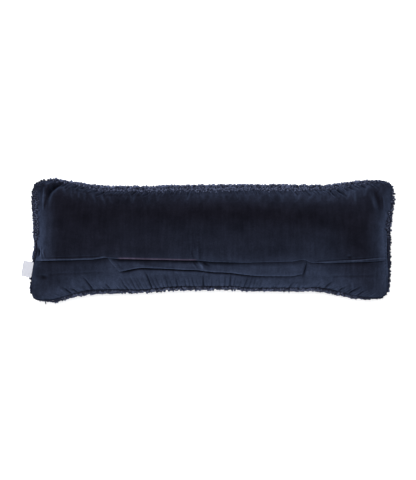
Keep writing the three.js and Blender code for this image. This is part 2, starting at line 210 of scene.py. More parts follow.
PLEATED = dict(ends=(-220, 120), reach=(26, 40), depth=(0.7, 1.9))  # the fine gathers below the flap
STEEPEST_AT = 320  # distance from the middle where the gathers slant most
PUCKERS = dict(pitch=4, reach=(5, 16), height=0.0025)  # the finest wrinkles, next to the long sides
CREASE_DARK = 2.2  # depth of a gather that is in deep shade
FOLD_DARK = 6  # and of a fold

# Folds at the ends, each along a bowed line in plan, with half width and depth. Those below zero are ridges.
FOLDS = (
    ((-372, 140), (-412, 142), (-412, 94), 7, 6.5),
    ((-386, 136), (-404, 132), (-411, 108), 8, 3.5),
    ((-421, 128), (-422, 104), (-421, 78), 2.6, -3.4),
    ((408, 122), (417, 98), (422, 68), 6.5, 2.4),
    ((430, 108), (433, 92), (432, 74), 3, -1.4),
    ((441, 20), (441, -30), (442, -90), 2.2, -3),
    ((-443, -23), (-441, -31), (-439, -40), 5.5, 10),
    ((-430, -18), (-427, -32), (-425, -46), 2.5, -2),
    ((-422, -26), (-419, -36), (-417, -46), 2.5, -1.6),
    ((-428, -92), (-421, -93), (-413, -93), 4, 2.6),
    ((436, -52), (424, -60), (396, -62), 6, 1.2),
    ((338, -42), (342, -42), (346, -42), 3.5, 1.6),
    ((304, -92), (308, -92), (313, -92), 3.5, 1.8),
    ((-54, -44), (-55, -30), (-56, 6), 2.6, 1.6),
    ((-46, -44), (-47, -28), (-48, 30), 2.2, -1),
    ((-40, -46), (-41, -34), (-43, -4), 2.4, 1.8),
    ((-34, -46), (-34, -30), (-34, 40), 2.2, -1),
    ((-28, -46), (-28, -34), (-28, 10), 2.4, 1.4),
    ((235.5, -54), (235, -72), (228, -91), 2.6, 7),
)
FOLD_STEPS = 12  # along a fold
FOLD_TAPER = (0.12, 0.92)  # parts of a half wave by which a fold starts and ends shallow

# The simulated panel
SIM_COLUMNS = 260
SIM_ROWS = 88
SIM_FRAMES = 18
SIM_CAP = 9  # the farthest that it may move
EDGE_GROWTH = 0.06  # of the cloth next to the rim, which gathers it
EDGE_REACH = 42  # how far in that reaches
END_SHARE = 0.4  # of the growth, along the two ends
SEED_SHARE = 0.6  # of the gathers' depth, as creases that the panel starts with
CLOTH = dict(
    quality=5,
    mass=0.3,
    tension_stiffness=15,
    compression_stiffness=15,
    shear_stiffness=5,
    bending_stiffness=0.1,
    tension_damping=5,
    compression_damping=5,
    shear_damping=5,
    bending_damping=0.5,
    use_pressure=True,
    uniform_pressure_force=25,
)

# How far the pile leans along the pillow, above and below the lapped seam, and down towards the lower side,
# and how much more it leans down at the upper side than halfway
LEAN = dict(
    x=(-1, -0.93, -0.85, -0.7, -0.45, -0.1, 0.6, 0.85, 0.93, 1),
    above=(-0.1, 0.05, 0.3, 0.25, 0, 0, 0, -0.3, -0.05, 0.1),
    below=(0.3, 0.35, 0.35, 0.25, 0, 0, 0, -0.3, -0.05, 0.1),
    down=(0.3, 0.25, 0.22, 0.28, 0.35, 0.46, 0.45, 0.12, 0.22, 0.3),
    rise=(0, 0, 0.6, 0.9, 0.6, -0.05, -0.35, -0.3, 0, 0),
)

# Steps of the velvet
VELVET_COLUMNS = 560
ROWS_BELOW_LAP = 58
ROWS_ABOVE_LAP = 92
END_CROWDING = 0.2  # how far the columns crowd at the ends
ROW_CROWDING = 0.8  # and the rows at the rim and the lap
UNDERSIDE_RINGS = (0.97, 0.9, 0.75, 0.5, 0.2)  # shares of the way out from the middle of the hidden underside

# The flap over the closure: how far it hangs below the seam, how far its free edge stands off,
# how deep the panel is hollowed along that edge, and how deep the shade below the lap is
FLAP = dict(
    x=(-262, -226, -171, -49, 20, 145, 200, 235),
    drop=(30.3, 30.2, 20.7, 23.9, 28, 37, 38.1, 36),
    lift=(0.8, 1.2, 3, 2.4, 1.6, 2.6, 2.2, 1.6),
    hollow=(0.8, 0.9, 0.85, 0.85, 0.8, 0.45, 0.35, 0.45),
    shade=(0.3, 0.9, 1, 0.95, 0.85, 0.45, 0.4, 0.4),
)
FLAP_SHADE = (0.03, 0.42)  # shares of the drop over which the shade below the lap ends
FLAP_SHEEN = 0.08  # how pale it is, as painted sheen
FLAP_ENDS = dict(top=(-258, 231.5), bottom=(-230, 226))  # along the pillow
FLAP_CLEAR = 0.5  # between it and the velvet below
FLAP_THICK = 1.9
FLAP_START = 0.6  # from the seam to the flap's sewn edge
FLAP_COLUMNS = 300
FLAP_ROWS = 18
FLAP_EDGE_STEPS = 5  # round its free edge
FLAP_END_ROUND = 3  # distance from its ends over which it thins
FLAP_END_THICK = 0.15  # of its thickness, at the very ends

# The hollow of the lower panel along the flap's free edge,
# and over which distances from the flap's ends it starts and stops
FLAP_HOLLOW = dict(depth=5.5, width=2.8, below=1.8, left=(-4, 24), right=(-6, 4))

# Ridges and hollows of the flap: a bowed line in plan, half width and height
FLAP_BUMPS = (
    ((-37, -54), (-27, -62), (-14, -78), 5, 3),
    ((-27, -54), (-16, -62), (-4, -72), 5, -2),
    ((60, -64), (85, -66), (105, -66), 9, -1.6),
    ((-257, -46), (-250, -58), (-240, -74), 4.5, 2.4),
    ((-246, -48), (-237, -58), (-228, -66), 4, -1.6),
    ((-190, -56), (-160, -62), (-120, -66), 5, 1.6),
)
FLAP_BUMPS_FULL = 0.25  # of its drop, from where on they are as high as that

# Strokes on the flap of painted highlight, where the pile looks pale, and where it lies in painted deep
# shade:
# a bowed line in plan, half width and strength
FLAP_HIGHLIGHTS = (
    ((-33, -54), (-25, -64), (-13, -78), 2.8, 1),
    ((-48, -56), (-42, -64), (-34, -76), 1.8, 0.4),
    ((-256, -43), (-248, -58), (-237, -73), 5, 0.45),
    ((-190, -58), (-160, -65), (-128, -70), 4.5, 0.25),
)
FLAP_DARK = (
    ((-28, -51), (-16, -58), (-2, -66), 4.4, 0.9),
    ((-50, -51), (-44, -56), (-36, -64), 2.4, 0.8),
    ((-240, -48), (-232, -58), (-224, -70), 3, 0.45),
    ((66, -62), (83, -65), (100, -65), 6, 0.4),
)
FLAP_EDGE_SHEEN = dict(nap=0.16, from_share=0.78)  # painted highlight along its free edge

# The hooked wool
GROUND_OUT = (0.4, 5)  # the base cloth's two faces, out from the filling
GROUND_COLUMNS = 120
GROUND_ROWS = 44
LOOP_GAP = 6.4  # least distance between scattered loops
LOOP_TRIES = 90000
AREA_STEPS = (481, 181)  # of the grid that the loops are scattered over
RIM_SEARCH = 2000  # steps along each side of the rim
LOOP_SPAN = (3.4, 5.4)  # from foot to foot
LOOP_HEIGHT = (1.02, 1.36)  # of the room between base cloth and pile top
LOOP_LOWEST = 0.6  # of the yarn's radius, that a pressed loop still rises
LOOP_ROOT = 1.2  # how far out from the filling the feet are
YARN_RADIUS = (1.6, 2.3)
LOOP_RINGS = 8  # along a loop
LOOP_SIDES = 6  # round its yarn
LOOP_PIECES = 4
MAP_MARGIN = 0.08  # round each loop's square of the map
NEARLY_UP = (0.02, 0.03, 1)  # the direction that the loops of the sides lie level against
LIP_REACH = 9  # distance from the rim over which the loops lean up
SPLAYED = (10, 22)  # distances from the rim between which the loops stop standing square to the base cloth
RIM_ROWS = 4  # rows of loops that follow the rim
ROW_GAP = 6.2  # between the loops of a row
ROW_STEP = 5.4  # from row to row
ROW_NEAREST = 4.4  # least distance between the loops of the rows
ROW_SEARCH = 0.2  # how far in the rows are looked for, as a share of the half width or half length
ROW_JITTER = 0.2  # of the gap, along the rim
RIM_TURN = dict(reach=(8, 20), loose=0.55)  # loops next to the rim lie along it, but for this share of a turn
RIM_UNEVEN = 1.1  # how much more their heights differ than those of the others
LOWER_LEAN = 0.25  # of the lip's rise, along the lower side
END_OUT = 1.8  # how far the loops next to the rim are pushed out at the two ends
PUSHED_ROOTS = 0.4  # of a push on the loops' tips, on their roots
TUFT_ROOM = (4, 16)  # distances from the rim over which a push dies away

# Tufts that stand out of the rim: a place in plan, reach, and push in plan
TUFTS = (
    (-404, 148, 18, (0, 4.4)),
    (459, 96, 26, (2.6, 0)),
    (-397, -153, 12, (0, -4)),
)

# Tones of the loops: a random spread, with painted light and shade by where they lie and how they lean
TONE_SPREAD = 1.6  # from the darkest to the palest
LIT_SIDE = 0.45  # painted light: how much paler those are that lean towards the long sides
END_TONE = 0.3  # painted shade: how much darker those are that lean towards the ends
SEAM_DARK = dict(reach=(1, 6), dark=1)  # painted shade: how much darker those beside the seam of the lower side are
END_DARK = dict(x=(-0.8, -0.6, 0, 0.2), dark=(0, 1.3, 1.3, 0), reach=(5, 14))  # painted shade on those beside the right seam
CORNER_DARK = dict(x=-444, y=134, reach=36, dark=1.1)  # and painted shade on those of the upper left corner

# Loops that lie over the rim seam on the velvet: how far in they reach, along each side
OVER_SEAM = dict(
    upper=dict(x=(-0.97, -0.8, -0.45, 0, 0.4, 0.6, 0.9, 0.97), reach=(0, 3, 5, 9, 8, 4, 4, 0)),
    left=dict(x=(-0.1, 0.1, 0.4, 0.6, 0.97), reach=(0, 9, 11, 16, 12)),
    right=dict(x=(-0.1, 0.1, 0.2, 0.4, 0.6, 0.97), reach=(0, 2, 7, 7, 3, 2)),
)
OVER_GAP = 3.4  # from loop to loop, along the seam
OVER_ROW = 2.8  # from row to row, in from the seam
OVER_JITTER = 0.5  # of these two
OVER_THIN = (0.6, 1.25)  # the shares of that reach where the loops start and stop to thin out
OVER_DARK = 0.8  # how much darker the innermost are
OVER_TONE = 1.65  # the tone that they are evened out to
OVER_SPREAD = 0.85  # of their tones, after that
OVER_LOWEST = 0.25  # how pale their feet are against the painted shade at the feet, as a share of a loop's height
OVER_HEIGHT = 3.8
OVER_SINK = 1  # of the roots below the velvet
OVER_SCALE = 0.6  # of the size of the other loops
REST_HEIGHT = 0.15  # above the floor, of the loops that the weight presses flat

# A yarn end that hangs out of the lower left rim
YARN_END = ((-421, -149, 44), (-421.5, -154, 46), (-421, -159, 46), (-420.5, -165, 44))
YARN_END_RADIUS = 1.7
YARN_END_STEPS = 16  # along it
YARN_END_SIDES = 8  # round it
YARN_END_TAPER = dict(share=0.98, power=8)  # how far its thin tip goes, and how blunt it is
YARN_END_TONE = 0.3
YARN_END_HEIGHT = 0.6  # of a loop's height, for its colour

# The label in the left seam
LABEL = dict(y=-77.5, tall=39, wide=26, droop=3, start=1.2)
LABEL_LAYER = 0.55  # thickness of its tape
LABEL_FOLD = 0.5  # radius of its fold
LABEL_CURL = 0.5  # how far its middle rises at the fold
LABEL_FARTHEST = 1.1  # of its width, that its droop and curl grow to at most
LABEL_ROOM = 3  # to the loops beside it that stand up again
LABEL_COLUMNS = 28
LABEL_STEPS = 16
LABEL_FOLD_STEPS = 6
LABEL_SEARCH = 400  # steps along the left seam

# Colours of the pile where it lies flat, where it is made pale by painted sheen, where it turns away from the
# eye and where it is rubbed with a painted highlight, and of the rest
VELVET = dict(
    flat=(0.0072, 0.0072, 0.012),
    nap=(0.058, 0.077, 0.134),
    away=(0.061, 0.0825, 0.149),
    rubbed=(0.085, 0.069, 0.112),
    sheen=(0.36, 0.44, 0.7),
)
WOOL = dict(dark=(0.011, 0.0136, 0.028), pale=(0.118, 0.141, 0.238), sheen=(0.7, 0.75, 1))
BASE_CLOTH = dict(dark=(0.008, 0.01, 0.022), pale=(0.02, 0.024, 0.05))
TAPE = dict(dark=(0.6, 0.61, 0.68), pale=(0.75, 0.76, 0.82))
STUDIO = dict(dark=(0.88, 0.88, 0.885), pale=(0.9, 0.9, 0.9))

# Noises that make the velvet uneven: scales to the metre, detail, roughness, and the shades that they give
VELVET_NOISES = (
    ((18, 26, 18), 4, 0.6, (0.78, 1.24)),
    ((120, 16, 40), 3, 0.5, (0.85, 1.15)),
    ((240, 240, 240), 3, 0.5, (0.86, 1.14)),
)
NOISE_SPAN = (0.3, 0.7)  # where most of a noise lies
DEEP_SHADE = 0.08  # how bright the velvet is where its shade is deepest

# Fine noises: scales to the metre and detail
VELVET_GRAIN = ((1300, 1300, 1300), 1)
WOOL_FIBRES = ((900, 900, 900), 3)
WOOL_MOTTLE = ((240, 240, 240), 2)
TAPE_DUST = ((160, 160, 160), 3)
STUDIO_CLOUDS = ((3, 3, 3), 2)

# Bumps: height in metres and strength
GRAIN_BUMPS = (0.0003, 0.5)
FIBRE_BUMPS = (0.0006, 0.7)
CLOTH_BUMPS = (0.0004, 1)
TAPE_BUMPS = (0.0002, 1)

# How light the wool is for its height in a loop, as painted light at the top and painted shade at the feet,
# its mottling and its loop's tone, and the spans of these
WOOL_LIGHTNESS = dict(
    height=((-0.25, 0.65), (0.2, 1)),
    mottle=((-0.22, 0.22), NOISE_SPAN),
    tone=((-0.69, 0.4), (-0.5, 2.1)),
)

# Scales of the threads of the two weaves
CLOTH_WEAVE = 90
TAPE_WEAVE = 420

# Camera, straight above the velvet
PIXEL = 2.53  # size of a pixel at the height that the camera aims at
IMAGE_SIZE = (416, 480)
LENS = 85
SENSOR = 36
CAMERA_AIM = (-8.9, -1.3, 55)
CLIP_END = 60  # metres

# Light and floor. The lamp's place and size are in metres.
KEY_PLACE = (-0.35, 0.75, 2.3)
KEY_SIZE = 1.1
KEY_POWER = 55
SKY_STRENGTH = 0.34
FLOOR_GLOW = 0.72
FLOOR_HALF = 15000
BACKDROP = dict(near=7500, far=12000, height=3500, glow=0.56)  # it rises out of the floor all round
BACKDROP_STEPS = (97, 13)  # round the pillow, and outwards


def ease(value, low, high):
    """Smooth step from 0 at low to 1 at high."""
    share = np.clip((value - low) / (high - low), 0, 1)
    return share * share * (3 - 2 * share)


def fade(value, low, high):
    """Smooth step from 1 at low to 0 at high."""
    return 1 - ease(value, low, high)


def from_table(table, column, x):
    """A column's value at x, eased between the rows of a table that is sorted by x."""
    places, values = np.array(table["x"], float), np.array(table[column], float)
    row = np.clip(np.searchsorted(places, x, side="right") - 1, 0, len(places) - 2)
    share = ease(x, places[row], places[row + 1])
    return values[row] + (values[row + 1] - values[row]) * share


def unit(vectors):
    """Vectors of length 1."""
    return vectors / np.maximum(np.linalg.norm(vectors, axis=-1, keepdims=True), TINY)


def bell(x):
    """A bell curve that is 1 at 0."""
    return np.exp(-(x**2))


def between(share, ends):
    """The value at a share of the way between two ends."""
    return ends[0] + (ends[1] - ends[0]) * share


def round_turns(steps):
    """Even steps of a full turn."""
    return np.linspace(0, 2 * math.pi, steps, endpoint=False)


def patch_grid(columns, rows):
    """Patch coordinates of an even grid, each from -1 to 1."""
    return np.meshgrid(np.linspace(-1, 1, columns), np.linspace(-1, 1, rows), indexing="ij")


# Form of the pillow


def rim_side(name, t, grow=0.0):
    """Points of the rim seam along one side, with t from -1 to 1, moved outwards by grow."""
    side = SIDES[name]
    start, end = (np.array(CORNERS[corner], float) for corner in side["ends"])
    along = (end - start) * (1, 1, 0)
    length = np.linalg.norm(along)
    along /= length
    inward = np.array((-along[1], along[0], 0))
    if inward @ start > 0:
        inward = -inward
    corner_grow = grow * CORNER_PILE
    radius = CORNER_RADIUS + corner_grow
    length = length + 2 * corner_grow
    to_arc_middle = radius * (1 - math.sqrt(0.5))
    share = (np.asarray(t, float) + 1) / 2
    distance = to_arc_middle + (length - 2 * to_arc_middle) * share
    over_arc = np.maximum(0, radius - np.minimum(distance, length - distance))
    rounding = radius - np.sqrt(radius**2 - over_arc**2)
    drawn_in = from_table(side["drawn"], "pull", np.asarray(t, float))
    middle = drawn_in / max(side["drawn"]["pull"])
    pull = drawn_in - (grow - corner_grow) * middle
    points = start + along * (distance - corner_grow)[..., None]
    points = points + inward * (rounding + pull - corner_grow)[..., None]
    points[..., 2] = start[2] + (end[2] - start[2]) * share + side["lift"] * middle
    return points


def rim_patch(u, v, grow=0.0):
    """Points of a smooth patch between the four sides of the rim seam, with u and v from -1 to 1."""
    u, v = np.broadcast_arrays(np.asarray(u, float), np.asarray(v, float))
    right, upper = ((u + 1) / 2)[..., None], ((v + 1) / 2)[..., None]
    left, lower = 1 - right, 1 - upper
    ends = np.array((-1.0, 1.0))
    lower_ends, upper_ends = rim_side("lower", ends, grow), rim_side("upper", ends, grow)
    edges = rim_side("lower", u, grow) * lower + rim_side("upper", u, grow) * upper
    edges = edges + rim_side("left", v, grow) * left + rim_side("right", v, grow) * right
    corners = lower * (lower_ends[0] * left + lower_ends[1] * right)
    corners = corners + upper * (upper_ends[0] * left + upper_ends[1] * right)
    return edges - corners


def place_on_patch(x, y):
    """Patch coordinates of places in plan."""
    u, v = x / HALF_SIZE[0], y / HALF_SIZE[1]
    for _ in range(PATCH_ROUNDS):
        points = rim_patch(u, v)
        u = u + (x - points[..., 0]) / HALF_SIZE[0]
        v = v + (y - points[..., 1]) / HALF_SIZE[1]
    return u, v


def from_lower_side(u, plan):
    """Distances in plan from the lower side of the rim."""
    return plan[..., 1] - rim_side("lower", u)[..., 1]


def insets(u, v):
    """Distances in plan from the two long sides of the rim, and from its two ends."""
    plan = rim_patch(u, v)
    upper = rim_side("upper", u)[..., 1] - plan[..., 1]
    lower = from_lower_side(u, plan)
    left = plan[..., 0] - rim_side("left", v)[..., 0]
    right = rim_side("right", v)[..., 0] - plan[..., 0]
    return np.minimum(upper, lower), np.minimum(left, right)


def swell(u, v):
    """How full the pillow is, from 0 at the seams to 1 in the middle."""
    across = np.maximum(0, 1 - np.abs(v) ** ACROSS["power"]) ** ACROSS["round"]
    along = np.maximum(0, 1 - np.abs(u) ** ALONG["power"]) ** ALONG["round"]
    return across * along


def back_points(u, v):
    """Points of the plain crowned back."""
    points = rim_patch(u, v)
    points[..., 2] += CROWN * swell(u, v)
    return points


def square_to(surface, u, v):
    """Directions square to a surface on the patch, towards its upper face."""
    u, v = (np.clip(place, SLOPE_STEP - 1, 1 - SLOPE_STEP) for place in (u, v))
    along_u = surface(u + SLOPE_STEP, v) - surface(u - SLOPE_STEP, v)
    along_v = surface(u, v + SLOPE_STEP) - surface(u, v - SLOPE_STEP)
    return unit(np.cross(along_u, along_v))


def back_normals(u, v):
    """Outward directions of the plain crowned back."""
    return square_to(back_points, u, v)


def flattened(height):
    """Heights above the floor after the pillow's weight has pressed it flat."""
    rounded = (height + FLAT_BLEND) ** 2 / (4 * FLAT_BLEND)
    return np.where(height > FLAT_BLEND, height, np.where(height < -FLAT_BLEND, 0, rounded))


def roll_out(u, v):
    """How far the front rolls out across the pillow, past the seams of the long sides."""
    inset = (1 - np.abs(v)) * HALF_SIZE[1] / ROLL["inset"]
    most = np.where(v > 0, ROLL["upper"], -ROLL["lower"])
    return most * inset * np.exp(1 - inset) * fade(np.abs(u), *ROLL["fades"])


def front_points(u, v, out):
    """Points of the underside, moved out from the filling."""
    points = rim_patch(u, v, out)
    points[..., 1] += roll_out(u, v)
    floor = PILE + SEWN_GAP - out
    points[..., 2] = floor + flattened(points[..., 2] - (BELLY + out) * swell(u, v) - floor)
    return points


def loop_roots(u, v):
    """Points of the base cloth where loops start."""
    return front_points(u, v, LOOP_ROOT)


# Meshes


def grid_faces(columns, rows):
    """Quads of a grid of columns by rows points, counted column by column."""
    index = np.arange(columns * rows).reshape(columns, rows)
    quads = np.stack([index[:-1, :-1], index[1:, :-1], index[1:, 1:], index[:-1, 1:]], axis=-1)
    return quads.reshape(-1, 4)


def border(columns, rows):
    """Indices round the border of a grid, turning left."""
    index = np.arange(columns * rows).reshape(columns, rows)
    return np.concatenate([index[:-1, 0], index[-1, :-1], index[:0:-1, -1], index[0, :0:-1]])


def band_faces(first, second):
    """Quads between two closed rings of as many points."""
    return np.stack([first, second, np.roll(second, -1), np.roll(first, -1)], axis=-1)


def tube_faces(rings, sides, turn=1):
    """Quads round a tube of rings of points, facing the other way where turn is -1."""
    index = np.arange(rings * sides).reshape(rings, sides)
    return np.concatenate([band_faces(*index[k:k + 2][::turn]) for k in range(rings - 1)])


def two_faced(columns, rows):
    """Quads of two grids of points, one the back of the other, and of the band between their borders."""
    size = columns * rows
    grid, ring = grid_faces(columns, rows), border(columns, rows)
    return np.concatenate([grid, grid[:, ::-1] + size, band_faces(ring + size, ring)])


def add_mesh(name, points, quads):
    """A new smooth mesh from points in millimetres and faces of four corners."""
    mesh = bpy.data.meshes.new(name)
    mesh.vertices.add(len(points))
    mesh.vertices.foreach_set("co", (np.asarray(points, np.float32) * MM).ravel())
    mesh.loops.add(quads.size)
    mesh.loops.foreach_set("vertex_index", quads.astype(np.int32).ravel())
    mesh.polygons.add(len(quads))
    mesh.polygons.foreach_set("loop_start", np.arange(0, quads.size, 4, dtype=np.int32))
    mesh.polygons.foreach_set("use_smooth", np.ones(len(quads), bool))
    mesh.update(calc_edges=True)
    mesh.validate()
    piece = bpy.data.objects.new(name, mesh)
    bpy.context.scene.collection.objects.link(piece)
    return piece


def add_attribute(piece, name, values):
    """A number at each point of a piece, for its material to read."""
    attribute = piece.data.attributes.new(name, "FLOAT", "POINT")
    attribute.data.foreach_set("value", np.asarray(values, np.float32).ravel())


def add_lean(piece, u, v, plan):
    """The lean of the pile at each point of a velvet piece, for its material to read."""
    above, below, down, rise = (from_table(LEAN, column, u) for column in ("above", "below", "down", "rise"))
    upper_panel = above_lap(plan) > 0
    along = np.where(upper_panel, above, below)
    down = down * np.where(upper_panel, 1 + rise * v, 1)
    lean = np.stack([along, -down, np.zeros(u.shape)], axis=-1).reshape(-1, 3)
    lean = np.concatenate([lean, np.zeros((len(piece.data.vertices) - u.size, 3))])
    attribute = piece.data.attributes.new("lean", "FLOAT_VECTOR", "POINT")
    attribute.data.foreach_set("vector", lean.astype(np.float32).ravel())


def spline_weights(share):
    """Weights of the four neighbours of a place on a smooth cubic spline."""
    return np.stack([
        (1 - share) ** 3,
        3 * share**3 - 6 * share**2 + 4,
        -3 * share**3 + 3 * share**2 + 3 * share + 1,
        share**3,
    ]) / 6


def sample_grid(values, u, v):
    """A grid's values at places u and v from -1 to 1, on a smooth spline that meets the grid's border."""
    columns, rows = values.shape[:2]
    at_u, at_v = (u + 1) / 2 * (columns - 1), (v + 1) / 2 * (rows - 1)
    column = np.clip(np.floor(at_u).astype(int), 0, columns - 2)
    row = np.clip(np.floor(at_v).astype(int), 0, rows - 2)
    weights_u, weights_v = spline_weights(at_u - column), spline_weights(at_v - row)
    wider = np.pad(values, ((1, 1), (1, 1), (0, 0)), mode="reflect", reflect_type="odd")
    total = 0
    for i in range(4):
        for j in range(4):
            total = total + wider[column + i, row + j] * (weights_u[i] * weights_v[j])[..., None]
    return total


# The velvet back


def gather_slant(x):
    """How far gathers slant towards the ends at a place along the pillow."""
    return FINE_GATHERS["slant"] * np.clip(x / STEEPEST_AT, -1, 1)


def fine_gathers():
    """Small gathers along both long sides, uneven but the same in each run."""
    random = np.random.default_rng(SEED)
    found = []
    for side in ("upper", "lower"):
        at = -FINE_GATHERS["ends"]
        while at < FINE_GATHERS["ends"]:
            at += random.uniform(*FINE_GATHERS["pitch"])
            slant = gather_slant(at) + random.uniform(-FINE_GATHERS["uneven"], FINE_GATHERS["uneven"])
            pleated = side == "lower" and PLEATED["ends"][0] < at < PLEATED["ends"][1]
            kind = {**FINE_GATHERS, **PLEATED} if pleated else FINE_GATHERS
            reach, width, depth = (random.uniform(*kind[key]) for key in ("reach", "width", "depth"))
            found.append((side, at, reach, slant, width, depth))
    return found


def gather_depth(u, points, gathers):
    """How deep gathers pull the velvet in. Each is a trough between two low shoulders."""
    depth = np.zeros(points.shape[:-1])
    for side, at, reach, slant, width, deepest in gathers:
        from_rim = np.abs(rim_side(side, u)[..., 1] - points[..., 1])
        aside = (points[..., 0] - at - slant * from_rim) / width
        grown = ease(from_rim, 0, GATHER_START)
        faded = fade(from_rim, reach / GATHER_FADE, reach)
        depth += deepest * grown * faded * (1 - GATHER_SHOULDERS * aside**2) * bell(aside)
    return depth


def along_lines(points, lines):
    """The summed height of folds that each follow a bowed line in plan."""
    height = np.zeros(points.shape[:-1])
    for start, bow, end, width, highest in lines:
        strongest = np.zeros_like(height)
        for share in np.linspace(0, 1, FOLD_STEPS + 1):
            taper = math.sin(math.pi * between(share, FOLD_TAPER))
            weights = ((1 - share) ** 2, 2 * share * (1 - share), share**2)
            x, y = (sum(w * p[axis] for w, p in zip(weights, (start, bow, end))) for axis in (0, 1))
            away = ((points[..., 0] - x) ** 2 + (points[..., 1] - y) ** 2) / width**2
            strongest = np.maximum(strongest, taper * np.exp(-away))
        height += highest * strongest
    return height


def stitch_depth(points):
    """How deep the rows of stitches pull the velvet in."""
    x, y = points[..., 0], points[..., 1]
    depth = np.zeros_like(x)
    for row in STITCH_ROWS:
        left, right = row["x"]
        line = between(np.clip((x - left) / (right - left), 0, 1), row["y"])
        ends = ease(x, left, left + STITCH_FADE) * fade(x, right - STITCH_FADE, right)
        depth += row["depth"] * ends * bell((y - line) / STITCH_WIDTH)
    return depth


def hollow_depth(points):
    """How far the lower panel sinks in along the free edge of the flap."""
    x, y = points[..., 0], points[..., 1]
    edge = from_table(LAP_SEAM, "y", x) - FLAP_START - from_table(FLAP, "drop", x) - FLAP_HOLLOW["below"]
    left, right = FLAP_ENDS["bottom"]
    ends = ease(x - left, *FLAP_HOLLOW["left"]) * fade(x - right, *FLAP_HOLLOW["right"])
    depth = FLAP_HOLLOW["depth"] * from_table(FLAP, "hollow", x)
    return depth * ends * bell((y - edge) / FLAP_HOLLOW["width"])


def above_lap(points):
    """Distances in plan above the lapped seam."""
    return points[..., 1] - from_table(LAP_SEAM, "y", points[..., 0])


def sewn_lap(points, fullness):
    """The lap of the upper panel over the lower one: its height, and how far its rolled edge hangs over."""
    above = above_lap(points)
    whole = ease(fullness, *LAP_FADE)
    lap = from_table(LAP_SEAM, "lap", points[..., 0]) * whole
    turn = np.clip(above / LAP_EDGE, 0, 1) * math.pi
    rise = lap * (1 - np.cos(turn)) / 2 * bell(above / LAP_REACH)
    depth = from_table(LAP_SEAM, "groove", points[..., 0]) * whole
    groove = depth * bell(above / GROOVE_REACH) * (1 + np.cos(turn)) / 2
    return rise - groove, LAP_OVERHANG * lap * np.sin(turn)


def hold_and_grow(panel, u, v):
    """Groups of the panel's points: those held at the rim, and how far each keeps its size."""
    pinned = panel.vertex_groups.new(name="rim")
    pinned.add(border(SIM_COLUMNS, SIM_ROWS).tolist(), 1.0, "REPLACE")
    from_sides, from_ends = insets(u, v)
    growth_sides = fade(from_sides, 0, EDGE_REACH)
    growth_ends = END_SHARE * fade(from_ends, 0, EDGE_REACH)
    kept = panel.vertex_groups.new(name="kept")
    for index, weight in enumerate((1 - np.maximum(growth_sides, growth_ends)).ravel().tolist()):
        kept.add([index], weight, "REPLACE")


def add_cloth(panel):
    """Makes the panel a cloth whose edge grows and that is blown up from below."""
    cloth = panel.modifiers.new("cloth", "CLOTH")
    for key, value in CLOTH.items():
        setattr(cloth.settings, key, value)
    cloth.settings.vertex_group_mass = "rim"
    cloth.settings.vertex_group_shrink = "kept"
    cloth.settings.shrink_min = -EDGE_GROWTH
    cloth.settings.shrink_max = 0
    cloth.settings.effector_weights.gravity = 0
    cloth.collision_settings.use_collision = False
    cloth.point_cache.frame_end = SIM_FRAMES


def simulate_back():
    """How the velvet moves off the plain crowned back when its eased edge is blown up inside the rim seam."""
    u, v = patch_grid(SIM_COLUMNS, SIM_ROWS)
    plain = back_points(u, v)
    creases = SEED_SHARE * gather_depth(u, plain, [*GATHERS, *fine_gathers()])
    start = plain - creases[..., None] * back_normals(u, v)
    panel = add_mesh("panel", start.reshape(-1, 3), grid_faces(SIM_COLUMNS, SIM_ROWS))
    hold_and_grow(panel, u, v)
    add_cloth(panel)
    for step in range(1, SIM_FRAMES + 1):
        bpy.context.scene.frame_set(step)
    settled = panel.evaluated_get(bpy.context.evaluated_depsgraph_get()).to_mesh()
    points = np.empty(len(settled.vertices) * 3, np.float32)
    settled.vertices.foreach_get("co", points)
    bpy.context.scene.frame_set(1)
    bpy.data.objects.remove(panel)
    moved = points.reshape(plain.shape) / MM - plain
    size = np.linalg.norm(moved, axis=-1, keepdims=True)
    return moved * np.minimum(1, SIM_CAP / np.maximum(size, TINY))


def crease_depths(u, v):
    """How deep the velvet is gathered and sewn in, and how deep it is folded. It is neither at the rim."""
    plain = back_points(u, v)
    from_rim = np.minimum(*insets(u, v))
    gathers = GATHER_SHARE * gather_depth(u, plain, [*GATHERS, *fine_gathers()])
    sewn = stitch_depth(plain) + hollow_depth(plain)
    folded = along_lines(plain, FOLDS)
    return (gathers + sewn) * ease(from_rim, 0, GATHER_START), folded * ease(from_rim, 0, FOLD_START)


def velvet_points(u, v, moved):
    """Points of the finished velvet: the crowned back, moved as simulated, then creased and sewn."""
    plain = back_points(u, v)
    height, overhang = sewn_lap(plain, swell(u, v))
    gathered, folded = crease_depths(u, v)
    rise = height - gathered - folded
    points = plain + sample_grid(moved, u, v) + back_normals(u, v) * rise[..., None]
    points[..., 1] -= overhang + bulge_out(u, plain)
    return points


def bulge_out(u, points):
    """How far the velvet bulges out over the seam of the lower side."""
    from_lower = from_lower_side(u, points)
    out = from_table(BULGE, "out", u)
    return out * ease(from_lower, *BULGE["starts"]) * fade(from_lower, *BULGE["ends"])


def velvet_places():
    """Patch coordinates of the velvet's grid. Its rows follow the lap, and crowd there and at the rim."""
    t = np.linspace(-1, 1, VELVET_COLUMNS)
    u = t * (1 + END_CROWDING * (1 - t * t))
    x = rim_patch(u, np.zeros_like(u))[:, 0]
    seam = place_on_patch(x, from_table(LAP_SEAM, "y", x))[1][:, None]
    lower, upper = (
        share - ROW_CROWDING * np.sin(2 * math.pi * share) / (2 * math.pi)
        for share in (np.linspace(0, 1, ROWS_BELOW_LAP), np.linspace(0, 1, ROWS_ABOVE_LAP + 1)[1:])
    )
    v = np.concatenate([-1 + (seam + 1) * lower, seam + (1 - seam) * upper], axis=1)
    return np.broadcast_to(u[:, None], v.shape), v


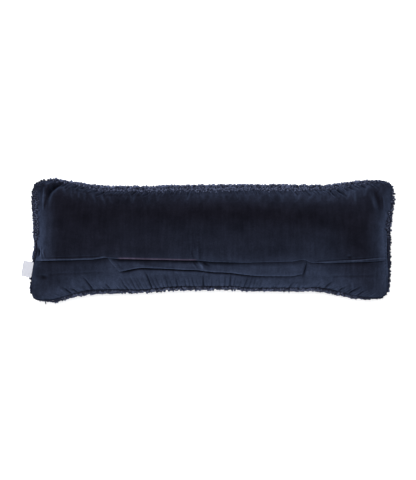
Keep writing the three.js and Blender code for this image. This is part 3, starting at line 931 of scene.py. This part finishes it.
def closed_below(u, v, points):
    """Points and faces of a crowned face, closed by rings of the filling's underside."""
    ring = border(*u.shape)
    rim_u, rim_v = u.ravel()[ring], v.ravel()[ring]
    everything, faces = [points.reshape(-1, 3)], [grid_faces(*u.shape)]
    count = u.size
    for scale in UNDERSIDE_RINGS:
        everything.append(front_points(rim_u * scale, rim_v * scale, 0))
        inner = count + np.arange(len(ring))
        faces.append(band_faces(ring, inner))
        ring, count = inner, count + len(ring)
    everything.append(front_points(np.zeros(1), np.zeros(1), 0))
    middle = np.full(len(ring) // 2, count)
    faces.append(np.stack([ring[0::2], middle, np.roll(ring, -2)[0::2], ring[1::2]], axis=-1))
    return np.concatenate(everything), np.concatenate(faces)


def started(x, place):
    """How far a stretch that is full from a place on has started."""
    return ease(x, place - WEAR_FADE, place)


def lap_wear_and_highlights(plan):
    """How far the rolled edge of the lap is painted pale pinkish, rubbed and with a painted highlight, and
    how far painted highlight lines lie along its edge left of the flap and along a line right of it.
    """
    x, (flap_left, flap_right) = plan[..., 0], FLAP_ENDS["top"]
    along_edge = bell((above_lap(plan) - LAP_WORN * LAP_EDGE) / (LAP_WORN_WIDTH * LAP_EDGE))
    pale = started(x, PALE_EDGE[0]) * (1 - started(x, PALE_EDGE[1] + WEAR_FADE))
    left = (1 - started(x, flap_left)) * along_edge
    right = bell((plan[..., 1] - from_table(HIGHLIGHT_LINE, "y", x)) / HIGHLIGHT_LINE_WIDTH)
    right = right * ease(x, flap_right, flap_right + 2 * WEAR_FADE)
    return pale * along_edge, HIGHLIGHT_LINE_STRENGTH * (left + right)


def crevice(u, v, plan):
    """How far the velvet lies in deep shade: in creases, right below the lap, and beside the lower loops."""
    gathered, folded = (np.maximum(depth, 0) for depth in crease_depths(u, v))
    creased = 1 - np.exp(-gathered / CREASE_DARK - folded / FOLD_DARK)
    above = above_lap(plan)
    below_lap = bell((above + LAP_SHADE) / LAP_SHADE) * ease(swell(u, v), *LAP_FADE)
    beside_lower = from_table(RIM_DARK, "dark", u) * fade(from_lower_side(u, plan), *RIM_SHADE)
    left_of_flap = 1 - started(plan[..., 0], FLAP_ENDS["top"][0])
    soft = LEFT_SHADE["dark"] * left_of_flap * np.exp(-np.abs(above) / LEFT_SHADE["reach"])
    soft = np.where(above < 0, soft, 0)
    spots = along_lines(plan, DARK_STROKES)
    return np.maximum.reduce([creased, LAP_DARK * below_lap, beside_lower, soft, spots])


def add_velvet_values(piece, u, v):
    """What the material of the velvet back reads: wear, painted sheen and highlights, painted shade and
    wrinkles. The hidden underside has none.
    """
    plan = back_points(u, v)
    from_sides = insets(u, v)[0]
    # brushed holds painted sheen and painted highlights: along the lap's edge, beside the lower side and in
    # pale strokes
    rubbed, brushed = lap_wear_and_highlights(plan)
    beside_lower = fade(from_lower_side(u, plan), *LOWER_SHEEN_REACH)
    brushed = brushed + from_table(LOWER_SHEEN, "nap", u) * beside_lower
    brushed = np.clip(brushed + along_lines(plan, HIGHLIGHT_STROKES), 0, 1)
    values = dict(
        rubbed=rubbed,
        nap=brushed,
        shade=crevice(u, v, plan),
        pucker=(plan[..., 0] - gather_slant(plan[..., 0]) * from_sides) / PUCKERS["pitch"],
        eased=fade(from_sides, *PUCKERS["reach"]),
    )
    hidden = np.zeros(len(piece.data.vertices) - u.size)
    for name, value in values.items():
        add_attribute(piece, name, np.concatenate([value.ravel(), hidden]))
    add_lean(piece, u, v, plan)


def make_velvet_back(moved):
    """The velvet back as one filled cushion, closed below by a plain underside."""
    u, v = velvet_places()
    piece = add_mesh("velvet_back", *closed_below(u, v, velvet_points(u, v, moved)))
    add_velvet_values(piece, u, v)
    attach(piece, "root")
    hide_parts("cushion")
    return piece


# The flap over the closure


def flap_section():
    """A ring round the flap's section: shares of its drop from the seam, and of its thickness."""
    down = np.linspace(0, 1, FLAP_ROWS)
    turn = np.linspace(0, math.pi, FLAP_EDGE_STEPS + 2)[1:-1]
    drop = np.concatenate([down, np.ones(FLAP_EDGE_STEPS), down[::-1]])
    height = np.concatenate([np.ones(FLAP_ROWS), (1 + np.cos(turn)) / 2, np.zeros(FLAP_ROWS)])
    beyond = np.concatenate([np.zeros(FLAP_ROWS), np.sin(turn) / 2, np.zeros(FLAP_ROWS)])
    return drop, height, beyond


def flap_height(plan, drop, height, from_end):
    """How far the flap's faces stand off the velvet below. It thins towards its ends."""
    rounding = np.sqrt(1 - (1 - np.clip(from_end / FLAP_END_ROUND, 0, 1)) ** 2)
    lift = from_table(FLAP, "lift", plan[..., 0]) * drop**2
    bumps = np.maximum(along_lines(plan, FLAP_BUMPS), -FLAP_CLEAR - lift) * ease(drop, 0, FLAP_BUMPS_FULL)
    thick = FLAP_THICK * (0.5 + (height - 0.5) * between(rounding, (FLAP_END_THICK, 1)))
    return FLAP_CLEAR + lift + bumps + thick


def flap_faces(columns, around):
    """Quads round the flap and over its two ends."""
    index = np.arange(columns * around).reshape(columns, around)
    faces = [tube_faces(columns, around, -1)]
    half = around // 2
    for end, turn in ((index[0], 1), (index[-1], -1)):
        cap = np.stack([end[:half - 1], end[1:half], end[::-1][1:half], end[::-1][:half - 1]], axis=-1)
        faces.append(cap[:, ::turn])
    return np.concatenate(faces)


def make_flap(moved):
    """The velvet strip that hangs out of the lapped seam over the closure."""
    drop, height, beyond = (part[None, :] for part in flap_section())
    share = np.linspace(0, 1, FLAP_COLUMNS)[:, None]
    left, right = (between(drop, ends) for ends in zip(FLAP_ENDS["top"], FLAP_ENDS["bottom"]))
    x = between(share, (left, right))
    seam = from_table(LAP_SEAM, "y", x) - FLAP_START
    y = seam - from_table(FLAP, "drop", x) * drop - beyond * FLAP_THICK
    u, v = place_on_patch(x, y)
    plan = np.stack([x, y], axis=-1)
    off = flap_height(plan, drop, height, np.minimum(x - left, right - x))
    points = velvet_points(u, v, moved) + back_normals(u, v) * off[..., None]
    piece = add_mesh("velvet_flap", points.reshape(-1, 3), flap_faces(*x.shape))
    shade = fade(drop, *FLAP_SHADE) * from_table(FLAP, "shade", x)
    shade = np.maximum(shade, along_lines(plan, FLAP_DARK))
    # Painted sheen over the flap, with painted highlight along its free edge and in pale strokes
    nap = FLAP_SHEEN + FLAP_EDGE_SHEEN["nap"] * ease(drop, FLAP_EDGE_SHEEN["from_share"], 1)
    nap = np.clip(nap + along_lines(plan, FLAP_HIGHLIGHTS), 0, 1)
    for name, value in dict(rubbed=0, nap=nap, shade=shade, pucker=0, eased=0).items():
        add_attribute(piece, name, value * np.ones_like(x))
    add_lean(piece, u, v, plan)
    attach(piece, "root")
    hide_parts("zip_flap")
    return piece


# The hooked wool front


def wave(t):
    """Patch coordinates that crowd at the rim, where the underside turns up."""
    return np.sin(np.asarray(t) * math.pi / 2)


def make_ground():
    """The base cloth that the loops are hooked through."""
    u, v = wave(patch_grid(GROUND_COLUMNS, GROUND_ROWS))
    points = np.concatenate([front_points(u, v, out).reshape(-1, 3) for out in GROUND_OUT])
    piece = add_mesh("wool_ground", points, two_faced(*u.shape))
    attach(piece, "root")
    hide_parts("hooked_front")
    return piece


def walked(points):
    """Distances along a line of points."""
    steps = np.linalg.norm(np.diff(points, axis=0), axis=1)
    return np.concatenate([[0], np.cumsum(steps)])


def rim_rows(random):
    """Patch places of the rows of loops next to the rim seam, each set off by half a gap against the last."""
    places = []
    t = np.linspace(-1, 1, RIM_SEARCH)
    edges = np.linspace(1, 1 - ROW_SEARCH, RIM_SEARCH)
    for name in ("lower", "right", "upper", "left"):
        long_side = name in ("lower", "upper")
        sign = 1 if name in ("right", "upper") else -1
        middle = np.zeros_like(edges)
        section = (middle, sign * edges) if long_side else (sign * edges, middle)
        inward = walked(front_points(*section, PILE / 2))
        along = walked(rim_side(name, t, PILE / 2))
        for row in range(RIM_ROWS):
            steps = np.arange(row % 2 * ROW_GAP / 2, along[-1], ROW_GAP)
            steps = steps + ROW_GAP * random.uniform(-ROW_JITTER, ROW_JITTER, len(steps))
            spots = np.interp(steps, along, t)
            fixed = np.full_like(spots, sign * np.interp(row * ROW_STEP, inward, edges))
            places.append(np.stack([spots, fixed] if long_side else [fixed, spots], axis=-1))
    return np.concatenate(places)


def over_seam(random, moved):
    """Roots, tips and darkness of the loops that lie over the rim seam on the velvet. None follows it."""
    places, dark = [], []
    for name, table in OVER_SEAM.items():
        across, along = HALF_SIZE if name in ("left", "right") else HALF_SIZE[::-1]
        rows = np.arange(0, max(table["reach"]), OVER_ROW)
        spots = np.arange(table["x"][0], table["x"][-1], OVER_GAP / along)
        t, inset = np.meshgrid(spots, rows, indexing="ij")
        t = t + random.uniform(-OVER_JITTER, OVER_JITTER, t.shape) * OVER_GAP / along
        inset = inset + random.uniform(0, OVER_JITTER, t.shape) * OVER_ROW
        share = inset / np.maximum(from_table(table, "reach", t), TINY)
        kept = share < random.uniform(*OVER_THIN, t.shape)
        dark.append(OVER_DARK * share[kept])
        fixed = (1 - inset[kept] / across) * (-1 if name == "left" else 1)
        places.append(np.stack([t[kept], fixed] if name == "upper" else [fixed, t[kept]], axis=-1))
    u, v = np.concatenate(places).T
    points, normals = velvet_points(u, v, moved), back_normals(u, v)
    dark = np.concatenate(dark)
    return points - normals * OVER_SINK, points + normals * OVER_HEIGHT, dark, np.zeros_like(dark)


def loop_places(random):
    """Patch places of the loops, first along the rim and then scattered no nearer than the loop gap."""
    corners = front_points(*wave(patch_grid(*AREA_STEPS)), PILE / 2)
    area = np.linalg.norm(np.cross(
        corners[1:, :-1] - corners[:-1, :-1],
        corners[:-1, 1:] - corners[:-1, :-1],
    ), axis=-1).ravel()
    cell = random.choice(area.size, LOOP_TRIES, p=area / area.sum())
    columns, rows = (steps - 1 for steps in AREA_STEPS)
    tries_u = wave((cell // rows + random.random(LOOP_TRIES)) / columns * 2 - 1)
    tries_v = wave((cell % rows + random.random(LOOP_TRIES)) / rows * 2 - 1)
    beside_rim = rim_rows(random)
    places = np.concatenate([beside_rim, np.stack([tries_u, tries_v], axis=-1)])
    spots = front_points(places[:, 0], places[:, 1], PILE / 2)
    least = np.repeat([ROW_NEAREST, LOOP_GAP], [len(beside_rim), LOOP_TRIES])
    return places[spaced_out(spots, least)]


def spaced_out(spots, least):
    """Indices of the spots that are kept where each has to be its least distance from those before it."""
    taken, kept = {}, []
    around = [(i, j, k) for i in (-1, 0, 1) for j in (-1, 0, 1) for k in (-1, 0, 1)]
    boxes = np.floor(spots / least.max()).astype(int).tolist()
    squares = (least**2).tolist()
    for index, ((x, y, z), (i, j, k), square) in enumerate(zip(spots.tolist(), boxes, squares)):
        near = (spot for di, dj, dk in around for spot in taken.get((i + di, j + dj, k + dk), ()))
        if all((x - p) ** 2 + (y - q) ** 2 + (z - r) ** 2 > square for p, q, r in near):
            taken.setdefault((i, j, k), []).append((x, y, z))
            kept.append(index)
    return np.array(kept)


def under_label(roots):
    """Which loops lie below the label."""
    beside = np.abs(roots[:, 1] - LABEL["y"]) < LABEL["tall"] / 2 + LABEL_ROOM
    return beside & (roots[:, 0] < 0)


def hooked(u, v):
    """Roots, tips and painted shade of the loops of the front, and how far each is laid along the rim."""
    roots, tips = loop_roots(u, v), front_points(u, v, PILE + SEWN_GAP)
    from_rim = np.linalg.norm(roots - rim_near(u, v), axis=-1)
    length = np.linalg.norm(tips - roots, axis=-1, keepdims=True)
    square = roots - square_to(loop_roots, u, v) * length
    tips = square + (tips - square) * ease(from_rim, *SPLAYED)[:, None]
    lean = fade(from_rim, 0, LIP_REACH) * np.where(under_label(roots), 0, 1)
    lower_side = -v > np.abs(u)
    tips[:, 2] += LIP_RISE * lean * np.where(lower_side, LOWER_LEAN, 1)
    at_end = np.abs(u) > np.abs(v)
    push = tufted(roots, from_rim)
    push[:, 0] += END_OUT * np.sign(u) * at_end * fade(from_rim, *TUFT_ROOM)
    dark = SEAM_DARK["dark"] * lower_side * fade(from_rim, *SEAM_DARK["reach"])
    beside_right = (u > np.abs(v)) * fade(from_rim, *END_DARK["reach"])
    dark = dark + beside_right * from_table(END_DARK, "dark", v)
    beside_rim = fade(from_rim, *RIM_TURN["reach"])
    return roots + PUSHED_ROOTS * push, tips + push, dark, beside_rim


def make_loops(moved):
    """The wool loops, as arches of yarn, in pieces along the pillow."""
    random = np.random.default_rng(SEED + 1)
    front = hooked(*loop_places(random).T)
    roots, tips, dark, beside_rim = (np.concatenate(pair) for pair in zip(front, over_seam(random, moved)))
    count = len(roots)
    over = np.arange(count) >= len(front[0])
    scale = np.where(over, OVER_SCALE, 1)
    turn = random.uniform(-math.pi / 2, math.pi / 2, count)
    even = np.mean(LOOP_HEIGHT)
    uneven = random.uniform(*LOOP_HEIGHT, count) - even
    shape = dict(
        roots=roots,
        tips=tips,
        turn=turn * (1 - (1 - RIM_TURN["loose"]) * beside_rim),
        span=random.uniform(*LOOP_SPAN, count) * scale,
        height=even + uneven * (1 + RIM_UNEVEN * beside_rim),
        radius=random.uniform(*YARN_RADIUS, count) * scale,
        # Each tone is a random spread, with painted light and shade added for where the loop lies and leans
        tone=TONE_SPREAD * random.random(count) + light_on(roots, unit(tips - roots)) - dark,
        lowest=np.where(over, OVER_LOWEST, 0),
    )
    shape["tone"][over] = OVER_TONE + OVER_SPREAD * (shape["tone"][over] - OVER_TONE)
    pieces = []
    for number, part in enumerate(np.array_split(np.argsort(roots[:, 0]), LOOP_PIECES), 1):
        chosen = {key: value[part] for key, value in shape.items()}
        pieces.append(make_loop_piece(f"wool_loops_{number}", chosen))
    return pieces


def tufted(roots, from_rim):
    """How far the loops stand out where the rim has a tuft."""
    push = np.zeros_like(roots)
    for x, y, reach, outward in TUFTS:
        near = np.exp(-((roots[:, 0] - x) ** 2 + (roots[:, 1] - y) ** 2) / reach**2)
        near = near * fade(from_rim, *TUFT_ROOM)
        push[:, :2] += near[:, None] * outward
    return push


def light_on(roots, directions):
    """Painted light and shade: how much paler or darker loops are for where they lie and how they lean."""
    away = (roots[:, 0] - CORNER_DARK["x"]) ** 2 + (roots[:, 1] - CORNER_DARK["y"]) ** 2
    corner = CORNER_DARK["dark"] * np.exp(-away / CORNER_DARK["reach"] ** 2)
    return LIT_SIDE * np.abs(directions[:, 1]) - END_TONE * np.abs(directions[:, 0]) - corner


def rim_near(u, v):
    """The edge of the base cloth that is nearest to places on it."""
    across = np.abs(v) > np.abs(u)
    return loop_roots(np.where(across, u, np.sign(u)), np.where(across, np.sign(v), v))


def loop_points(shape, arch):
    """Points round the yarn of loops that each arch from the base cloth and back into it."""
    up = shape["tips"] - shape["roots"]
    room = np.linalg.norm(up, axis=-1)
    up = unit(up)
    level = unit(np.cross(up, np.broadcast_to(NEARLY_UP, up.shape)))
    other = np.cross(up, level)
    turn = shape["turn"][:, None]
    span = level * np.cos(turn) + other * np.sin(turn)
    side = np.cross(span, up)
    round_yarn = round_turns(LOOP_SIDES)
    top = np.maximum(room * shape["height"] - shape["radius"], shape["radius"] * LOOP_LOWEST)
    reach = shape["span"] / 2
    along = -reach[:, None] * np.cos(arch)
    rise = top[:, None] * np.sin(arch)
    centre = shape["roots"][:, None] + span[:, None] * along[..., None] + up[:, None] * rise[..., None]
    tangent = unit(
        span[:, None] * (reach[:, None] * np.sin(arch))[..., None]
        + up[:, None] * (top[:, None] * np.cos(arch))[..., None]
    )
    outward = np.cross(tangent, np.broadcast_to(side[:, None], tangent.shape))
    ring = (
        outward[:, :, None] * np.cos(round_yarn)[:, None]
        + side[:, None, None] * np.sin(round_yarn)[:, None]
    )
    points = centre[:, :, None] + ring * shape["radius"][:, None, None, None]
    points[..., 2] = np.maximum(points[..., 2], REST_HEIGHT)
    return points


def make_loop_piece(name, shape):
    """One mesh of many loops."""
    arch = np.linspace(0, math.pi, LOOP_RINGS)
    points = loop_points(shape, arch)
    count = len(points)
    each = LOOP_RINGS * LOOP_SIDES
    tube = tube_faces(LOOP_RINGS, LOOP_SIDES, -1)
    faces = (tube[None] + (np.arange(count) * each)[:, None, None]).reshape(-1, 4)
    piece = add_mesh(name, points.reshape(-1, 3), faces)
    add_attribute(piece, "tone", np.repeat(shape["tone"], each))
    # Height in the loop, which the material turns into painted light at the top and painted shade at the feet
    height = between(np.sin(arch), (shape["lowest"][:, None], 1))
    add_attribute(piece, "height", np.repeat(height, LOOP_SIDES, axis=1))
    lay_out_loops(piece, count)
    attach(piece, "root")
    return piece


def lay_out_loops(piece, count):
    """A map that gives each loop a square of its own."""
    cells = math.ceil(math.sqrt(count))
    ring, side = np.meshgrid(np.arange(LOOP_RINGS - 1), np.arange(LOOP_SIDES), indexing="ij")
    corner_ring = np.stack([ring + 1, ring, ring, ring + 1], axis=-1) / (LOOP_RINGS - 1)
    corner_side = np.stack([side, side, side + 1, side + 1], axis=-1) / LOOP_SIDES
    share = np.stack([corner_ring, corner_side], axis=-1).reshape(-1, 2)
    square = between(share, (MAP_MARGIN, 1 - MAP_MARGIN))
    loop = np.arange(count)
    origin = np.stack([loop % cells, loop // cells], axis=-1)
    spots = (origin[:, None] + square[None]) / cells
    layer = piece.data.uv_layers.new(name="OFBake")
    layer.data.foreach_set("uv", spots.astype(np.float32).ravel())


def make_yarn_end():
    """The loose end of yarn, as a tapered tube along a bent line."""
    knots = np.array(YARN_END, float)
    place = np.linspace(0, len(knots) - 1, YARN_END_STEPS)
    line = np.stack([np.interp(place, np.arange(len(knots)), knots[:, axis]) for axis in range(3)], axis=-1)
    line[1:-1] = (line[:-2] + 2 * line[1:-1] + line[2:]) / 4
    along = unit(np.gradient(line, axis=0))
    side = unit(np.cross(along, (0, 0, 1)))
    above = np.cross(side, along)
    share = np.linspace(0, YARN_END_TAPER["share"], YARN_END_STEPS)
    radius = YARN_END_RADIUS * np.sqrt(1 - share ** YARN_END_TAPER["power"])
    turn = round_turns(YARN_END_SIDES)
    ring = side[:, None] * np.cos(turn)[:, None] + above[:, None] * np.sin(turn)[:, None]
    points = line[:, None] + ring * radius[:, None, None]
    piece = add_mesh("yarn_end", points.reshape(-1, 3), tube_faces(YARN_END_STEPS, YARN_END_SIDES))
    add_attribute(piece, "tone", np.full(points.shape[:2], YARN_END_TONE))
    add_attribute(piece, "height", np.full(points.shape[:2], YARN_END_HEIGHT))
    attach(piece, "root")
    return piece


# The label


def label_path():
    """The label's section, from its sewn edge out to the fold and back: distance out and height."""
    out = np.linspace(0, 1, LABEL_STEPS) * LABEL["wide"]
    turn = np.linspace(-math.pi / 2, math.pi / 2, LABEL_FOLD_STEPS + 2)[1:-1]
    fold_out, fold_up = LABEL["wide"] + LABEL_FOLD * np.cos(turn), LABEL_FOLD * (1 + np.sin(turn))
    distance = np.concatenate([out, fold_out, out[::-1]])
    height = np.concatenate([np.zeros(LABEL_STEPS), fold_up, np.full(LABEL_STEPS, 2 * LABEL_FOLD)])
    return distance, height


def on_left_seam(y):
    """The point of the left seam at a place across the pillow."""
    seam = rim_side("left", np.linspace(-1, 1, LABEL_SEARCH))
    return np.array([np.interp(y, seam[:, 1], seam[:, axis]) for axis in range(3)])


def make_label():
    """A bare woven label, folded in two and sewn into the left seam."""
    low, high = (on_left_seam(LABEL["y"] + side * LABEL["tall"] / 2) for side in (-1, 1))
    along = unit((high - low) * (1, 1, 0))
    outward = np.array((-along[1], along[0], 0))
    distance, height = label_path()
    slope = np.stack([np.gradient(distance), np.gradient(height)], axis=-1)
    across = unit(np.stack([-slope[:, 1], slope[:, 0]], axis=-1)) * LABEL_LAYER / 2
    spot = np.linspace(0, 1, LABEL_COLUMNS)[:, None]
    root = between(spot, (low, high))[:, None]
    both_faces = []
    for sign in (1, -1):
        out, up = distance + sign * across[:, 0], height + sign * across[:, 1]
        share = np.clip(out / LABEL["wide"], 0, LABEL_FARTHEST)
        curl = LABEL_CURL * np.sin(math.pi * spot) * share**2
        points = root + outward * (LABEL["start"] + out)[None, :, None]
        points[..., 2] += LIP_RISE + SEWN_GAP + LABEL_LAYER - LABEL["droop"] * share**2 + up + curl
        both_faces.append(points.reshape(-1, 3))
    piece = add_mesh("side_label", np.concatenate(both_faces), two_faced(LABEL_COLUMNS, len(distance)))
    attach(piece, "root")
    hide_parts("label")
    return piece


# Materials


class Nodes:
    """Short ways to add and join the nodes of one material."""

    def __init__(self, name):
        self.material = bpy.data.materials.new(name)
        self.material.use_nodes = True
        self.tree = self.material.node_tree
        self.shader = self.tree.nodes["Principled BSDF"]

    def put(self, socket, value):
        """Links a socket to an output, or sets it to a number, a vector or a colour."""
        if isinstance(value, bpy.types.NodeSocket):
            self.tree.links.new(value, socket)
        elif isinstance(value, tuple) and len(value) < len(socket.default_value):
            socket.default_value = (*value, 1)
        else:
            socket.default_value = value

    def add(self, kind, output, inputs, **settings):
        """An output of a new node with its settings and inputs."""
        node = self.tree.nodes.new(kind)
        for name, value in settings.items():
            setattr(node, name, value)
        for name, value in inputs.items():
            self.put(node.inputs[name], value)
        return node.outputs[output]

    def surface(self, inputs):
        """The finished material, with the given inputs on its shader's own sockets."""
        for name, value in inputs.items():
            self.put(self.shader.inputs[name], value)
        return self.material

    def attribute(self, name, output="Fac"):
        """What a piece says at each of its points."""
        return self.add("ShaderNodeAttribute", output, {}, attribute_name=name)

    def place(self):
        """Places in the space of a piece, in metres."""
        return self.add("ShaderNodeTexCoord", "Object", {})

    def noise(self, scales, detail, roughness=0.5):
        """Noise from 0 to 1, with its scale to the metre in each direction."""
        place = self.add("ShaderNodeMapping", "Vector", {"Vector": self.place(), "Scale": scales})
        inputs = {"Vector": place, "Scale": 1, "Detail": detail, "Roughness": roughness}
        return self.add("ShaderNodeTexNoise", "Fac", inputs)

    def noise_along(self, place):
        """Noise from 0 to 1 along a number."""
        inputs = {"W": place, "Scale": 1, "Detail": 1}
        return self.add("ShaderNodeTexNoise", "Fac", inputs, noise_dimensions="1D")

    def weave(self, scale):
        """Even threads from 0 to 1 in two directions."""
        inputs = {"Vector": self.place(), "Scale": scale}
        threads = (self.add("ShaderNodeTexWave", "Fac", inputs, bands_direction=axis) for axis in ("X", "Y"))
        return self.math("MULTIPLY", *threads)

    def spread(self, value, to, span=(0, 1)):
        """A value from one span, spread over another."""
        inputs = {"Value": value, "From Min": span[0], "From Max": span[1], "To Min": to[0], "To Max": to[1]}
        return self.add("ShaderNodeMapRange", "Result", inputs)

    def math(self, operation, first, *others):
        """Numbers joined one after the other by an operation."""
        for other in others:
            first = self.add("ShaderNodeMath", "Value", {0: first, 1: other}, operation=operation)
        return first

    def mix(self, share, first, second):
        """Two colours mixed by a share, on the node's sockets for colours."""
        return self.add("ShaderNodeMix", 2, {0: share, 6: first, 7: second}, data_type="RGBA")

    def vector(self, operation, inputs):
        """Vectors or colours joined by an operation."""
        return self.add("ShaderNodeVectorMath", "Vector", inputs, operation=operation)

    def shaded(self, colour, factor):
        """A colour made darker or lighter by a number."""
        return self.vector("SCALE", {0: colour, "Scale": factor})

    def leaning(self, name):
        """Normals that lean by a vector attribute, as a brushed pile does."""
        normal = self.add("ShaderNodeNewGeometry", "Normal", {})
        leant = self.vector("ADD", {0: normal, 1: self.attribute(name, "Vector")})
        return self.vector("NORMALIZE", {0: leant})

    def facing(self, normal):
        """How far the pile turns away from the eye, as the sheen of velvet grows."""
        return self.add("ShaderNodeLayerWeight", "Facing", {"Normal": normal})

    def bump(self, height, distance, strength=1.0, **normal):
        """Normals of a surface with bumps as high as a distance in metres, on other normals if given."""
        inputs = {"Height": height, "Distance": distance, "Strength": strength}
        return self.add("ShaderNodeBump", "Normal", {**inputs, **normal})


def velvet_material():
    """Short cotton pile, brushed in faint patches and stripes, with painted sheen at the lower side and in
    pale strokes, painted shade in creases and below the lap, and a rubbed edge with a painted highlight.
    """
    nodes = Nodes("velvet")
    grain = nodes.noise(*VELVET_GRAIN)
    wrinkles = nodes.math("MULTIPLY", nodes.noise_along(nodes.attribute("pucker")), nodes.attribute("eased"))
    pile = nodes.bump(wrinkles, PUCKERS["height"], Normal=nodes.leaning("lean"))
    # Painted sheen: the pile is made paler where its attribute says so
    brushed = nodes.mix(nodes.attribute("nap"), VELVET["flat"], VELVET["nap"])
    piled = nodes.mix(nodes.facing(pile), brushed, VELVET["away"])
    worn = nodes.mix(nodes.attribute("rubbed"), piled, VELVET["rubbed"])
    uneven = [nodes.spread(nodes.noise(*noise), shades, NOISE_SPAN) for *noise, shades in VELVET_NOISES]
    grained = nodes.spread(grain, (0.85, 1.15))
    shaded = nodes.spread(nodes.attribute("shade"), (1, DEEP_SHADE))
    return nodes.surface({
        "Base Color": nodes.shaded(worn, nodes.math("MULTIPLY", *uneven, grained, shaded)),
        "Roughness": nodes.spread(grain, (0.85, 1)),
        "Normal": nodes.bump(grain, *GRAIN_BUMPS, Normal=pile),
        "Sheen Weight": 0.04,
        "Sheen Roughness": 0.3,
        "Sheen Tint": VELVET["sheen"],
        "Specular IOR Level": 0,
    })


def wool_material():
    """Dull wool yarn, each loop a little different, with painted light at the top of each loop where the
    fibres catch it and painted shade at its feet.
    """
    nodes = Nodes("hooked_wool")
    fibres = nodes.noise(*WOOL_FIBRES)
    parts = dict(
        height=nodes.attribute("height"),
        mottle=nodes.noise(*WOOL_MOTTLE),
        tone=nodes.attribute("tone"),
    )
    lightness = nodes.math("ADD", *(nodes.spread(part, *WOOL_LIGHTNESS[key]) for key, part in parts.items()))
    return nodes.surface({
        "Base Color": nodes.mix(lightness, WOOL["dark"], WOOL["pale"]),
        "Roughness": nodes.spread(fibres, (0.85, 1)),
        "Normal": nodes.bump(fibres, *FIBRE_BUMPS),
        "Sheen Weight": 0.1,
        "Sheen Roughness": 0.5,
        "Sheen Tint": WOOL["sheen"],
        "Specular IOR Level": 0.1,
    })


def ground_material():
    """The navy base cloth between the loops."""
    nodes = Nodes("wool_ground")
    weave = nodes.weave(CLOTH_WEAVE)
    return nodes.surface({
        "Base Color": nodes.mix(nodes.spread(weave, (0.1, 0.9)), BASE_CLOTH["dark"], BASE_CLOTH["pale"]),
        "Roughness": nodes.spread(weave, (1, 0.85)),
        "Normal": nodes.bump(weave, *CLOTH_BUMPS),
        "Specular IOR Level": 0.05,
    })


def label_material():
    """Close-woven white tape."""
    nodes = Nodes("label_tape")
    weave = nodes.weave(TAPE_WEAVE)
    dust = nodes.noise(*TAPE_DUST)
    tape = nodes.mix(nodes.spread(weave, (0, 1)), TAPE["dark"], TAPE["pale"])
    return nodes.surface({
        "Base Color": nodes.shaded(tape, nodes.spread(dust, (0.92, 1.06))),
        "Roughness": nodes.spread(dust, (0.65, 0.85)),
        "Normal": nodes.bump(weave, *TAPE_BUMPS),
    })


def floor_material(name, glow):
    """Pale matt studio floor, lit a little from within."""
    nodes = Nodes(name)
    return nodes.surface({
        "Base Color": nodes.mix(nodes.noise(*STUDIO_CLOUDS), STUDIO["dark"], STUDIO["pale"]),
        "Roughness": 0.9,
        "Emission Color": (1, 1, 1),
        "Emission Strength": glow,
    })


# Camera, light and floor


def make_camera():
    """A camera straight above the pillow, with the upper panel at the top of the picture."""
    camera = bpy.data.objects.new("camera", bpy.data.cameras.new("camera"))
    camera.data.lens = LENS
    camera.data.sensor_width = SENSOR
    away = PIXEL * max(IMAGE_SIZE) * LENS / SENSOR
    camera.location = Vector(CAMERA_AIM) * MM + Vector((0, 0, away * MM))
    camera.data.clip_end = CLIP_END
    bpy.context.scene.collection.objects.link(camera)
    bpy.context.scene.camera = camera


def make_light():
    """A square lamp that shines at the pillow, and a white sky."""
    lamp = bpy.data.objects.new("key", bpy.data.lights.new("key", "AREA"))
    lamp.data.energy = KEY_POWER
    lamp.data.size = KEY_SIZE
    lamp.location = KEY_PLACE
    lamp.rotation_euler = (-lamp.location).to_track_quat("-Z", "Y").to_euler()
    bpy.context.scene.collection.objects.link(lamp)
    world = bpy.data.worlds.new("studio")
    bpy.context.scene.world = world
    world.use_nodes = True
    sky = world.node_tree.nodes["Background"]
    sky.inputs["Color"].default_value = (1, 1, 1, 1)
    sky.inputs["Strength"].default_value = SKY_STRENGTH
    bpy.context.scene.view_settings.view_transform = "Standard"


def make_floor():
    """A wide floor, and a backdrop that rises out of it far away, so that low views have no horizon."""
    corners = np.array([(-1, -1, 0), (1, -1, 0), (1, 1, 0), (-1, 1, 0)]) * FLOOR_HALF
    floor = add_mesh("floor", corners, np.array([[0, 1, 2, 3]]))
    around, outward = (np.linspace(0, 1, steps) for steps in BACKDROP_STEPS)
    turn, share = np.meshgrid(-2 * math.pi * around, outward, indexing="ij")
    radius = between(share, (BACKDROP["near"], BACKDROP["far"]))
    points = np.stack([radius * np.cos(turn), radius * np.sin(turn), BACKDROP["height"] * share**2], axis=-1)
    backdrop = add_mesh("backdrop", points.reshape(-1, 3), grid_faces(*BACKDROP_STEPS))
    for piece, glow in ((floor, FLOOR_GLOW), (backdrop, BACKDROP["glow"])):
        piece.data.materials.append(floor_material(piece.name, glow))


def dress(pieces, material):
    """Gives a material to pieces."""
    for piece in pieces:
        piece.data.materials.append(material)


def main():
    """Makes everything."""
    make_camera()
    make_light()
    make_floor()
    moved = simulate_back()
    dress([make_velvet_back(moved), make_flap(moved)], velvet_material())
    loops = make_loops(moved)
    dress([make_ground()], ground_material())
    dress([*loops, make_yarn_end()], wool_material())
    dress([make_label()], label_material())


main()
